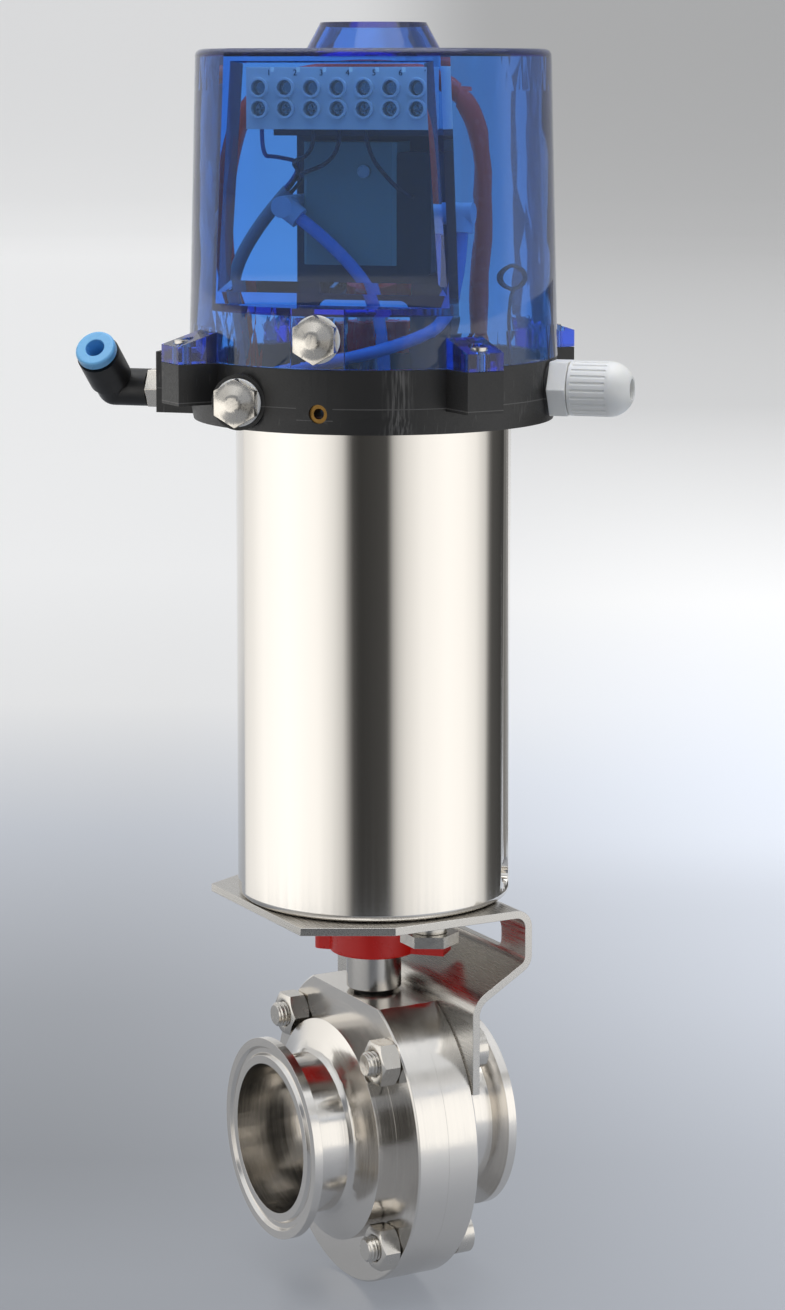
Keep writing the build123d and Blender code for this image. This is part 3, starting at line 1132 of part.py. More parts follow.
pivot_n = -20.0
lever_end_n = 3.0
lever_z, lever_h = CAM_Z + 1.2, 6.6
pivot_out = CAM_LOBE_R + APART + LEVER_W / 2
switch_out = pivot_out + LEVER_W / 2 + LEVER_TRAVEL
for name, side in (("closed", 1), ("open", -1)):
    with BuildPart() as switch_body:
        with BuildSketch(level(FLOOR_TOP_Z)):
            with Locations((pivot_n + 8, side * (switch_out + SWITCH_T / 2))):
                Rectangle(SWITCH_L, SWITCH_T)
        extrude(amount=CAM_Z + SWITCH_H - FLOOR_TOP_Z)
        with BuildSketch(level(lever_z + 0.9)):
            with Locations((pivot_n, side * (switch_out + pivot_out - 1.2) / 2)):
                Rectangle(2.4, switch_out - pivot_out + 1.2)
        extrude(amount=lever_h - 1.8)
        with BuildSketch(level(lever_z)):
            with Locations((pivot_n, side * pivot_out)):
                Circle(LEVER_PIN_R + RUNNING)
        extrude(amount=lever_h, mode=Mode.SUBTRACT)
    save(switch_body, f"{name}_switch")
    with BuildPart() as lever:
        with BuildSketch(level(lever_z)):
            with Locations((pivot_n, side * pivot_out)):
                Circle(LEVER_PIN_R)
        extrude(amount=lever_h)
        for low in (lever_z, lever_z + lever_h - 0.6):
            with BuildSketch(level(low)):
                with Locations(((pivot_n + lever_end_n) / 2 - 0.5, side * pivot_out)):
                    Rectangle(lever_end_n - pivot_n + 1, LEVER_W)
            extrude(amount=0.6)
        with BuildSketch(level(lever_z)):
            with Locations(((pivot_n + lever_end_n) / 2 + 1.2, side * pivot_out)):
                Rectangle(lever_end_n - pivot_n - 2.4, LEVER_T)
        extrude(amount=lever_h)
    save(lever, f"{name}_switch_lever")


def hose(points, radius):
    """Path of straight runs joined by arcs as large as the runs allow."""
    vectors = [Vector(*p) for p in points]
    radii = []
    for before, here, after in zip(vectors, vectors[1:], vectors[2:]):
        turn = (here - before).get_angle(after - here)
        run = min((here - before).length, (after - here).length)
        radii.append(0.45 * run / tan(radians(turn) / 2))
    path = FilletPolyline(*vectors, radius=radii, mode=Mode.PRIVATE)
    print("radii", [round(r, 1) for r in radii], "smallest in diameters", round(min(radii) / (2 * radius), 1))
    return path


head_in_h = COVER_TOP_Z - FLOOR_TOP_Z


def inside(n, t, up):
    """Point inside the head, from shares of its inner radius and of its height over the floor."""
    return place(n * wall_in_r, t * wall_in_r, FLOOR_TOP_Z + up * head_in_h)


# Fittings that the air tubes, the cable and the leads push into: posts on the floor and angled ones
red_left, red_right = (-0.148, -0.830), (-0.175, 0.590)
blue_low, cable_low, leads_low = (0.572, 0.238), (0.295, -0.701), (0.148, 0.863)
supply_low = (0.055 * wall_in_r, -0.830 * wall_in_r)
supply_up = FLOOR_TOP_Z + ELBOW_UP
post_point = Vector(*inside(0.572, -0.351, 0.565))
blue_dir = Vector(*place(0, cos(radians(BLUE_LEAN)), -sin(radians(BLUE_LEAN))))
coil_face_t = SOLENOID_LEFT + SOLENOID_W + COIL_W
coil_face_n = FRAME_FACE_N + COIL_N
coil_point_t, coil_point_n = coil_face_t + 7.4, FRAME_FACE_N + COIL_N / 2
coil_point_z = COIL_LOW_Z + COIL_H / 2
coil_point = Vector(*place(coil_point_n, coil_point_t, coil_point_z))
supply_turn = Vector(*inside(0.406, 0.627, 0.261))
coil_dir = (supply_turn - coil_point).normalized()
with BuildPart() as tube_fittings:
    for n, t in (red_left, red_right, blue_low, cable_low):
        with BuildSketch(Plane(origin=inside(n, t, 0), z_dir=(0, 0, 1))):
            Circle(FITTING_R)
        extrude(amount=FITTING_H)
    with BuildSketch(Plane(origin=inside(*leads_low, 0), z_dir=(0, 0, 1))):
        Circle(LEADS_POST_R)
    extrude(amount=FITTING_H)
    with BuildSketch(Plane(origin=post_point, z_dir=facing(WINDOW_ANGLE, 0).z_dir)):
        Circle(POST_R)
    extrude(amount=POST_R)
    with BuildSketch(Plane(origin=post_point, z_dir=facing(WINDOW_ANGLE, 0).z_dir)):
        Circle(POST_R)
    extrude(amount=FRAME_FACE_N - 0.572 * wall_in_r)
    with BuildSketch(Plane(origin=post_point, z_dir=blue_dir)):
        Circle(POST_R)
    extrude(amount=POST_REACH)
    with BuildSketch(Plane(origin=place(*supply_low, FLOOR_TOP_Z), z_dir=(0, 0, 1))):
        Circle(POST_R)
    extrude(amount=ELBOW_UP + POST_R)
    with BuildSketch(facing(WINDOW_ANGLE, supply_low[0], supply_low[1], supply_up)):
        Circle(POST_R)
    extrude(amount=POST_REACH)
    with BuildSketch(facing(WINDOW_ANGLE + 90, coil_face_t, -coil_point_n, coil_point_z)):
        Circle(POST_R)
    extrude(amount=coil_point_t - coil_face_t + POST_R)
    with BuildSketch(Plane(origin=coil_point, z_dir=coil_dir)):
        Circle(POST_R)
    extrude(amount=POST_REACH)
save(tube_fittings, "tube_fittings")

# Tubes and cables inside the head, each one straight out of its fitting
fit = FITTING_H / head_in_h
blue_start = post_point + blue_dir * POST_REACH
strip_entry_n = STRIP_N + STRIP_D - 2.5
well_t = [strip_mid + STRIP_PITCH * (pole - (STRIP_POLES - 1) / 2) for pole in range(STRIP_POLES)]
cable_turn, cable_end = Vector(*inside(0.277, -0.812, 0.404)), Vector(*inside(0.258, -0.434, 0.605))
cable_dir = (cable_end - cable_turn).normalized()
beside = cable_dir.cross(Vector(*place(1, 0, 0))).normalized() * WIRE_SPREAD
across = beside.cross(cable_dir)
hoses = {
    "red_air_tube": (RED_TUBE_R, [
        inside(*red_left, fit), inside(*red_left, 0.270), inside(-0.166, -0.876, 0.574), inside(-0.185, -0.839, 0.922),
        inside(-0.203, -0.129, 0.940), inside(-0.185, 0.535, 0.909), inside(-0.175, 0.642, 0.601),
        inside(*red_right, 0.306), inside(*red_right, fit)]),
    "blue_air_tube": (BLUE_TUBE_R, [
        blue_start, blue_start + blue_dir * 16, inside(*blue_low, 0.288), inside(*blue_low, fit)]),
    "supply_tube": (BLUE_TUBE_R, [
        place(supply_low[0] + POST_REACH, supply_low[1], supply_up), place(0.443 * wall_in_r, supply_low[1], supply_up),
        inside(0.756, -0.517, 0.091), inside(0.849, -0.074, 0.140), inside(0.738, 0.369, 0.189), supply_turn,
        coil_point + coil_dir * POST_REACH]),
    "signal_cable": (CABLE_R, [inside(*cable_low, fit), inside(*cable_low, 0.198), cable_turn, cable_end]),
}
coil_mid_t = coil_face_t - COIL_W / 2
coil_up = COIL_LOW_Z + 0.645 * COIL_H
wires = {
    "blue_wire": [[
        cable_end - beside, cable_end - beside + cable_dir * 10.4, inside(0.510, -0.434, 0.703),
        place(strip_entry_n, well_t[0], STRIP_Z - 8.4), place(strip_entry_n, well_t[0], STRIP_Z)]],
    "dark_wires": [[
        cable_end + across, cable_end + across + cable_dir * 7, inside(0.554, -0.323, 0.690),
        place(strip_entry_n, well_t[2], STRIP_Z - 7.5), place(strip_entry_n, well_t[2], STRIP_Z)], [
        cable_end + beside, cable_end + beside + cable_dir * 9.2, inside(0.581, -0.286, 0.650),
        place(strip_entry_n, well_t[3], STRIP_Z - 9.0), place(strip_entry_n, well_t[3], STRIP_Z)], [
        place(strip_entry_n, well_t[4], STRIP_Z), place(strip_entry_n, well_t[4], STRIP_Z - 7.0),
        inside(0.627, 0.314, 0.627), place(coil_face_n + 5.5, coil_mid_t, coil_up),
        place(coil_face_n, coil_mid_t, coil_up)]],
}
for name, (radius, points) in hoses.items():
    path = hose(points, radius)
    with BuildPart() as tube:
        with BuildSketch(Plane(origin=path @ 0, z_dir=path % 0)):
            Circle(radius)
        sweep(path=path)
    print(name, "volume over section times length", round(tube.part.volume / (pi * radius ** 2 * path.length), 4))
    save(tube, name)

for name, routes in wires.items():
    paths = [hose(points, WIRE_R) for points in routes]
    with BuildPart() as strands:
        for path in paths:
            with BuildSketch(Plane(origin=path @ 0, z_dir=path % 0)):
                Circle(WIRE_R)
            sweep(path=path)
    save(strands, name)

# Spare leads, tied in a small loop
leads_path = hose([inside(*leads_low, fit), inside(*leads_low, 0.127), inside(0.175, 0.845, 0.234),
                   place(LOOP_N, LOOP_T, LOOP_Z - LOOP_R)], WIRE_R)
with BuildPart() as spare_leads:
    with BuildSketch(Plane(origin=leads_path @ 0, z_dir=leads_path % 0)):
        Circle(WIRE_R)
    sweep(path=leads_path)
    with Locations(facing(WINDOW_ANGLE, LOOP_N, LOOP_T, LOOP_Z).location):
        Torus(LOOP_R, WIRE_R)
save(spare_leads, "spare_leads")
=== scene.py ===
"""Pneumatic butterfly valve with a see-through control head, dressed over its frame of solids.

Lengths in the file are metres, and the millimetres in the tables are turned to metres where they are used. The
centre of the inlet ferrule's face is the origin, the pipe runs along Y and the stem stands along Z.
"""

import json
import math

import bmesh
import bpy
from bpy.props import FloatProperty, FloatVectorProperty, IntProperty, PointerProperty
from mathutils import Matrix, Vector


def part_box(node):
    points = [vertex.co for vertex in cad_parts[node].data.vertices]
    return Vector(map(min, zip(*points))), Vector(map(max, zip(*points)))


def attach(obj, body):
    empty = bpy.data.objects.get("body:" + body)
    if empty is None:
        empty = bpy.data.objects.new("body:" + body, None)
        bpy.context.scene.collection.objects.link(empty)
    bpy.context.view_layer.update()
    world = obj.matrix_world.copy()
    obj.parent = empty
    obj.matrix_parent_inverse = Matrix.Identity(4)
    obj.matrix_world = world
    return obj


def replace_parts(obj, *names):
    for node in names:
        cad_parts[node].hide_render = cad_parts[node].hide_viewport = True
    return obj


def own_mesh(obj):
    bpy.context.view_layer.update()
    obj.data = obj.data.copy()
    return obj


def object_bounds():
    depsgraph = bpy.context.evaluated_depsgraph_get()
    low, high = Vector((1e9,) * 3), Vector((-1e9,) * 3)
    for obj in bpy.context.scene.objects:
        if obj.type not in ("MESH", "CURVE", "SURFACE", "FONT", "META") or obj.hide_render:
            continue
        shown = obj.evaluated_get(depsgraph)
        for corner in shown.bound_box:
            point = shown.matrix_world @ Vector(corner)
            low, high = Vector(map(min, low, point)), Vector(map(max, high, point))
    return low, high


bl_info = {
    "name": "Butterfly Valve With Control Head",
    "version": (1, 0, 0),
    "blender": (4, 5, 0),
    "location": "3D View > Sidebar > Valve",
    "description": "Builds the finish and the small pieces of a pneumatic butterfly valve over its frame",
    "category": "Object",
}

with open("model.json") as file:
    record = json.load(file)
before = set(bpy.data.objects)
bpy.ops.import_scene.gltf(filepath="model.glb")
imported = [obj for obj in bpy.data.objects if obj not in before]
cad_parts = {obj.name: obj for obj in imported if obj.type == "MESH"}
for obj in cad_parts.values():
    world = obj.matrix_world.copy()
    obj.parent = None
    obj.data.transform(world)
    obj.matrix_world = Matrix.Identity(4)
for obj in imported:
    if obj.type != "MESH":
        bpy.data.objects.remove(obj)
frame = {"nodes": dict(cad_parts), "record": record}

MM = 0.001
STEM_Y = 0.038                      # stem axis, from the inlet face
HEAD_TURN = math.radians(-45)       # way the window of the head looks
CAMERA_TURN = math.radians(-28.52)  # way from the stem to the camera
BODY_OF = {node: body for body, nodes in frame["record"]["behaviour"]["bodies"].items() for node in nodes}
CAD_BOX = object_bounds()
WELD = 2e-6                         # points nearer than this become one


# Values that a user would change

def linear(code):
    """Linear colour of an sRGB hex code, with full opacity."""
    parts = [int(code[k:k + 2], 16) / 255 for k in (1, 3, 5)]
    return tuple(p / 12.92 if p <= 0.04045 else ((p + 0.055) / 1.055) ** 2.4 for p in parts) + (1.0,)


def length(name, about, millimetres, low=0.0):
    """Length property whose default is given in millimetres."""
    return FloatProperty(name=name, description=about, default=millimetres * MM, min=low, unit="LENGTH", precision=5)


def colour(name, about, code):
    """Colour property whose default is an sRGB hex code."""
    return FloatVectorProperty(name=name, description=about, default=linear(code), size=4, min=0, max=1,
                               subtype="COLOR")


class ValveSizes(bpy.types.PropertyGroup):
    """Sizes of the pieces that are shaped here."""
    piston_stroke: length("Piston stroke", "Way of the piston that presses the return spring together", 30)
    edge_break: length("Edge break", "Width of the broken edges of the steel pieces", 0.25)
    moulded_edge: length("Moulded edge", "Radius on the edges of the moulded pieces", 0.4)
    thread_pitch: length("Thread pitch", "Pitch of the body bolts' threads", 1.25, 0.0002)
    thread_depth: length("Thread depth", "Depth of the body bolts' threads", 0.55)
    terminal_poles: IntProperty(name="Terminal poles", description="Poles of the terminal strip", default=7, min=1)
    terminal_pitch: length("Terminal pitch", "Distance between the poles of the terminal strip", 8.4, 0.001)


class ValveColours(bpy.types.PropertyGroup):
    """Colours of the finishes."""
    stainless: colour("Stainless", "Turned and polished stainless steel", "#E2DED8")
    sheet: colour("Sheet", "Ground stainless sheet", "#C9C6C1")
    cover: colour("Cover", "Blue that is left after a long way through the cover", "#27C4FA")
    base: colour("Base", "Black glass-filled nylon of the head's base", "#1F1E1D")
    indicator: colour("Indicator", "Red moulded indicator", "#FF1A0C")
    gland: colour("Gland", "Natural nylon of the cable gland", "#F4F3EE")
    collet: colour("Collet", "Light blue acetal of the release collet", "#7FC6F7")
    arch_tube: colour("Arch tube", "Orange-red polyurethane tube", "#F0492A")
    small_tube: colour("Small tubes", "Light blue polyurethane tube", "#4E8FE0")


class ValveStage(bpy.types.PropertyGroup):
    """Light and floor."""
    tent_strength: FloatProperty(name="Tent", description="Strength of the light tent round the valve", default=1.45,
                                 min=0)
    top_power: FloatProperty(name="Top light", description="Power of the light above", default=7.0, min=0,
                             unit="POWER")
    sky_strength: FloatProperty(name="Sky", description="Strength of the even light from all round", default=0.95,
                                min=0)
    painted_bowl_glow: FloatProperty(name="Bowl glow", description="Share of the bowl's brightness that no shadow touches",
                             default=0.64, min=0)
    bowl: colour("Floor tint", "Tint of the pale floor", "#EEF4FF")


def sizes():
    """The size properties in use."""
    return bpy.context.scene.valve_sizes


def colours():
    """The colour properties in use."""
    return bpy.context.scene.valve_colours


# Places and meshes

def spot(out, across, up, turn=HEAD_TURN):
    """Point from millimetres: out from the stem at a turn, across it, and up."""
    c, s = math.cos(turn), math.sin(turn)
    return Vector((out * c - across * s, STEM_Y / MM + out * s + across * c, up)) * MM


def outward(out, across, up, turn=HEAD_TURN):
    """Placing on the side of the head, in millimetres: x runs level across, y up and z outwards."""
    c, s = math.cos(turn), math.sin(turn)
    x, y, z = spot(out, across, up, turn)
    return Matrix(((-s, 0, c, x), (c, 0, s, y), (0, 1, 0, z), (0, 0, 0, 1)))


def rounded(points, radius, closed=False, steps=3):
    """Outline with its corners rounded, as pairs of radius and height."""
    points = [Vector(p) for p in points]
    result = []
    for k, corner in enumerate(points):
        if not closed and k in (0, len(points) - 1):
            result.append(corner)
            continue
        before, after = points[k - 1] - corner, points[(k + 1) % len(points)] - corner
        reach = min(radius, 0.45 * before.length, 0.45 * after.length)
        start, end = corner + before.normalized() * reach, corner + after.normalized() * reach
        for step in range(steps + 1):
            f = step / steps
            result.append(start * (1 - f) ** 2 + corner * 2 * f * (1 - f) + end * f ** 2)
    return [tuple(p) for p in result]


def turned(bm, rows, sides, place=Matrix(), closed=False, shape=None):
    """Surface turned about the local z axis, in millimetres; shape(angle, radius, height) may change a point."""
    rings = []
    for radius, height in rows:
        count = 1 if radius < 1e-6 else sides
        ring = []
        for k in range(count):
            angle = 2 * math.pi * k / sides
            r, h = shape(angle, radius, height) if shape and count > 1 else (radius, height)
            ring.append(bm.verts.new(place @ (Vector((r * math.cos(angle), r * math.sin(angle), h)) * MM)))
        rings.append(ring)
    pairs = list(zip(rings, rings[1:])) + ([(rings[-1], rings[0])] if closed else [])
    for lower, upper in pairs:
        for k in range(sides):
            corners = [lower[k % len(lower)], lower[(k + 1) % len(lower)], upper[(k + 1) % len(upper)],
                       upper[k % len(upper)]]
            corners = list(dict.fromkeys(corners))
            if len(corners) > 2:
                bm.faces.new(corners)
    return bm


def block(bm, low, high, place=Matrix()):
    """Closed box between two corners, in millimetres."""
    made = bmesh.ops.create_cube(bm, size=1)["verts"]
    low, high = Vector(low) * MM, Vector(high) * MM
    for vertex in made:
        vertex.co = place @ Vector(tuple((a + b) / 2 + c * (b - a) for a, b, c in zip(low, high, vertex.co)))
    return bm


def shown(name, data):
    """New object in the scene."""
    obj = bpy.data.objects.new(name, data)
    bpy.context.scene.collection.objects.link(obj)
    return obj


def piece(name, bm, finish, body, smooth=32.0, faces_out=True):
    """Object from a mesh: smooth where the turn is small, riding on its body."""
    if faces_out:
        bmesh.ops.recalc_face_normals(bm, faces=bm.faces)
    mesh = bpy.data.meshes.new(name)
    bm.to_mesh(mesh)
    bm.free()
    mesh.polygons.foreach_set("use_smooth", [True] * len(mesh.polygons))
    mesh.set_sharp_from_angle(angle=math.radians(smooth))
    mesh.materials.append(finish)
    obj = shown(name, mesh)
    if body:
        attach(obj, body)
    return obj


def break_edges(obj, width, angle=34.0):
    """Round the sharp edges a little, so that they catch the light."""
    bevel = obj.modifiers.new("Broken edges", "BEVEL")
    bevel.width, bevel.segments, bevel.limit_method = width, 2, "ANGLE"
    bevel.angle_limit, bevel.harden_normals, bevel.use_clamp_overlap = math.radians(angle), True, True
    return obj


def flat_kept(obj):
    """Let large flat faces keep their own shading beside rounded ones."""
    change = obj.modifiers.new("Flat faces", "WEIGHTED_NORMAL")
    change.keep_sharp, change.weight = True, 50
    return obj


def settled(obj):
    """Turn an object's modifiers into its plain mesh."""
    evaluated = obj.evaluated_get(bpy.context.evaluated_depsgraph_get())
    mesh = bpy.data.meshes.new_from_object(evaluated)
    obj.modifiers.clear()
    obj.data = mesh
    return obj


def combined(obj, bm, how="DIFFERENCE"):
    """Cut a closed shape from an object, or join it."""
    tool = piece("tool", bm, obj.data.materials[0], None)
    change = obj.modifiers.new("Shape", "BOOLEAN")
    change.object, change.operation, change.solver = tool, how, "EXACT"
    settled(obj)
    bpy.data.objects.remove(tool)
    return obj


def dressed(node, finish, edge=0.0, smooth=28.0, corner=34.0, cut_at=None):
    """Copy of a frame solid as one clean surface, with smooth curves and broken edges.

    Where cut_at is given, what lies nearer to the inlet than that place on the pipe axis is left out.
    """
    bm = bmesh.new()
    bm.from_mesh(frame["nodes"][node].data)
    bmesh.ops.remove_doubles(bm, verts=bm.verts, dist=WELD)
    bmesh.ops.dissolve_limit(bm, angle_limit=math.radians(0.02), verts=bm.verts, edges=bm.edges)
    if cut_at is not None:
        bmesh.ops.bisect_plane(bm, geom=bm.verts[:] + bm.edges[:] + bm.faces[:], plane_co=(0, cut_at * MM, 0),
                               plane_no=(0, -1, 0), clear_outer=True)
    obj = piece(node + "_finished", bm, finish, BODY_OF[node], smooth, faces_out=False)
    if edge:
        break_edges(obj, edge, corner)
    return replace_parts(flat_kept(obj), node)


def grown(name, tree, values, finish, body):
    """Object made by a geometry tree: its inputs are set, the result becomes a plain mesh, and its helpers go."""
    obj = shown(name, bpy.data.meshes.new(name))
    growth = obj.modifiers.new("Growth", "NODES")
    growth.node_group = tree
    sockets = {item.name: item.identifier for item in tree.interface.items_tree if item.in_out == "INPUT"}
    for key, value in {**values, "Finish": finish}.items():
        growth[sockets[key]] = value
    settled(obj)
    obj.data.name = name
    for helper in [value for value in values.values() if isinstance(value, bpy.types.Object)]:
        bpy.data.objects.remove(helper)
    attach(obj, body)
    return obj


# Nodes and finishes

def wire(tree, node, links):
    """Give a node's inputs their values, or the sockets that feed them."""
    for key, value in links.items():
        if isinstance(value, bpy.types.NodeSocket):
            tree.links.new(value, node.inputs[key])
        else:
            node.inputs[key].default_value = value


def add(tree, kind, links=None, out=None, **settings):
    """Add a node with its settings and links; hand back the node, or the output that is asked for."""
    node = tree.nodes.new(kind)
    for key, value in settings.items():
        setattr(node, key, value)
    wire(tree, node, links or {})
    return node if out is None else node.outputs[out]


def started(name, base, **fixed):
    """Start a finish: its shader with fixed values, and the piece's own coordinates; a hex code is made linear."""
    base = linear(base) if isinstance(base, str) else tuple(base)
    material = bpy.data.materials.new(name)
    material.use_nodes = True
    tree = material.node_tree
    tree.nodes.clear()
    shader = add(tree, "ShaderNodeBsdfPrincipled",
                 {"Base Color": base, **{key.replace("_", " "): value for key, value in fixed.items()}})
    add(tree, "ShaderNodeOutputMaterial", {"Surface": shader.outputs["BSDF"]})
    return material, tree, shader, add(tree, "ShaderNodeTexCoord").outputs["Object"]


def filled(ramp, stops):
    """Set the stops of a colour ramp from pairs of place and colour."""
    for k, (place, shade) in enumerate(stops):
        stop = ramp.elements[0] if k == 0 else ramp.elements.new(place)
        stop.position, stop.color = place, shade
    ramp.elements.remove(ramp.elements[-1])


def streaked(tree, where, scale, detail=3.0, turn=(0, 0, 0)):
    """Noise that is drawn out: a scale for each axis, after a turn."""
    drawn = add(tree, "ShaderNodeMapping", {"Vector": where, "Rotation": turn, "Scale": scale}, "Vector")
    return add(tree, "ShaderNodeTexNoise", {"Vector": drawn, "Scale": 1.0, "Detail": detail}, "Fac")


def skinned(tree, shader, pattern, rough, relief=0.0, strength=0.5, span=(0.3, 0.7), height=None):
    """Let a pattern vary the roughness between two values, and raise the skin by a relief in millimetres.

    The pattern counts between the two values of span. Where height is given, the skin follows that instead.
    """
    spread = add(tree, "ShaderNodeMapRange", {"Value": pattern, "From Min": span[0], "From Max": span[1],
                                              "To Min": rough[0], "To Max": rough[1]}, "Result")
    wire(tree, shader, {"Roughness": spread})
    if relief:
        wire(tree, shader, {"Normal": add(tree, "ShaderNodeBump", {
            "Height": pattern if height is None else height, "Distance": relief * MM, "Strength": strength},
            "Normal")})


def kept(maker):
    """Make a finish once and hand out the same one after that."""
    store = {}

    def handed(*facts):
        if facts not in store:
            store[facts] = maker(*facts)
        return store[facts]
    return handed


@kept
def turned_stainless():
    """Stainless steel 304 turned in a lathe and polished: bright, with fine rings about the pipe axis.

    The rings are 0.6 mm apart, coarser than the real feed marks, so that they show.
    """
    material, tree, shader, where = started("Turned stainless", colours().stainless, Metallic=1.0)
    flat = add(tree, "ShaderNodeVectorMath", {0: where, 1: (1, 0, 1)}, "Vector", operation="MULTIPLY")
    radius = add(tree, "ShaderNodeVectorMath", {0: flat}, "Value", operation="LENGTH")
    parts = add(tree, "ShaderNodeSeparateXYZ", {"Vector": where})
    rings = add(tree, "ShaderNodeCombineXYZ", {"X": radius, "Y": parts.outputs["Y"]}, "Vector")
    lines = add(tree, "ShaderNodeTexNoise", {"Vector": rings, "Scale": 1 / (0.6 * MM), "Detail": 2.0}, "Fac")
    cloud = add(tree, "ShaderNodeTexNoise", {"Vector": where, "Scale": 1 / (14 * MM), "Detail": 3.0}, "Fac")
    both = add(tree, "ShaderNodeMath", {0: lines, 1: cloud}, 0, operation="MULTIPLY")
    skinned(tree, shader, both, (0.12, 0.27), 0.012, 0.6, span=(0.1, 0.45), height=lines)
    return material


@kept
def polished_tube():
    """Stainless tube polished in a lathe: a soft mirror that draws the lights as upright bands.

    The polishing marks run level, 0.8 mm apart so that they show, and faint upright streaks cross them.
    """
    material, tree, shader, where = started("Polished stainless tube", colours().stainless, Metallic=1.0)
    lines = streaked(tree, where, (30, 30, 1 / (0.8 * MM)))
    streaks = streaked(tree, where, (1 / (2 * MM), 1 / (2 * MM), 2.0), 2.0)
    both = add(tree, "ShaderNodeMath", {0: lines, 1: streaks}, 0, operation="ADD")
    skinned(tree, shader, streaks, (0.08, 0.13), 0.006, height=both)
    return material


@kept
def ground_sheet():
    """Stainless sheet with a ground finish: satin, with short scratches along the sheet's width."""
    material, tree, shader, where = started("Ground stainless sheet", colours().sheet, Metallic=1.0)
    lines = streaked(tree, where, (1 / (9 * MM), 1 / (0.35 * MM), 1 / (0.35 * MM)))
    skinned(tree, shader, lines, (0.22, 0.34), 0.005)
    return material


@kept
def metal(name, code, grain, low, high, depth):
    """Small metal piece, turned, pressed or plated: its skin is uneven at a grain in millimetres.

    Cold-formed stainless is bright and slightly lumpy, machined steel is satin, nickel plate is nearly a mirror,
    bare brass is yellow and dull, and turned aluminium is pale and matt.
    """
    material, tree, shader, where = started(name, code, Metallic=1.0)
    skin = add(tree, "ShaderNodeTexNoise", {"Vector": where, "Scale": 1 / (grain * MM), "Detail": 4.0}, "Fac")
    skinned(tree, shader, skin, (low, high), depth)
    return material


def bright_fastener():
    """Cold-formed stainless bolts, nuts and screws."""
    return metal("Bright stainless fastener", "#D2CEC7", 2.5, 0.14, 0.30, 0.03)


def satin_steel():
    """Machined steel for shafts, disc and coupling."""
    return metal("Satin machined steel", "#C4C1BC", 0.6, 0.16, 0.24, 0.003)


def plated_nickel():
    """Turned brass with nickel plate."""
    return metal("Nickel plated brass", "#E4DED4", 0.6, 0.24, 0.34, 0.004)


@kept
def black_rubber():
    """Moulded EPDM rubber: dull black with a fine bloom."""
    material, tree, shader, where = started("Moulded black rubber", "#141415", IOR=1.52)
    bloom = add(tree, "ShaderNodeTexNoise", {"Vector": where, "Scale": 1 / (1 * MM), "Detail": 3.0}, "Fac")
    skinned(tree, shader, bloom, (0.65, 0.85), span=(0, 1))
    return material


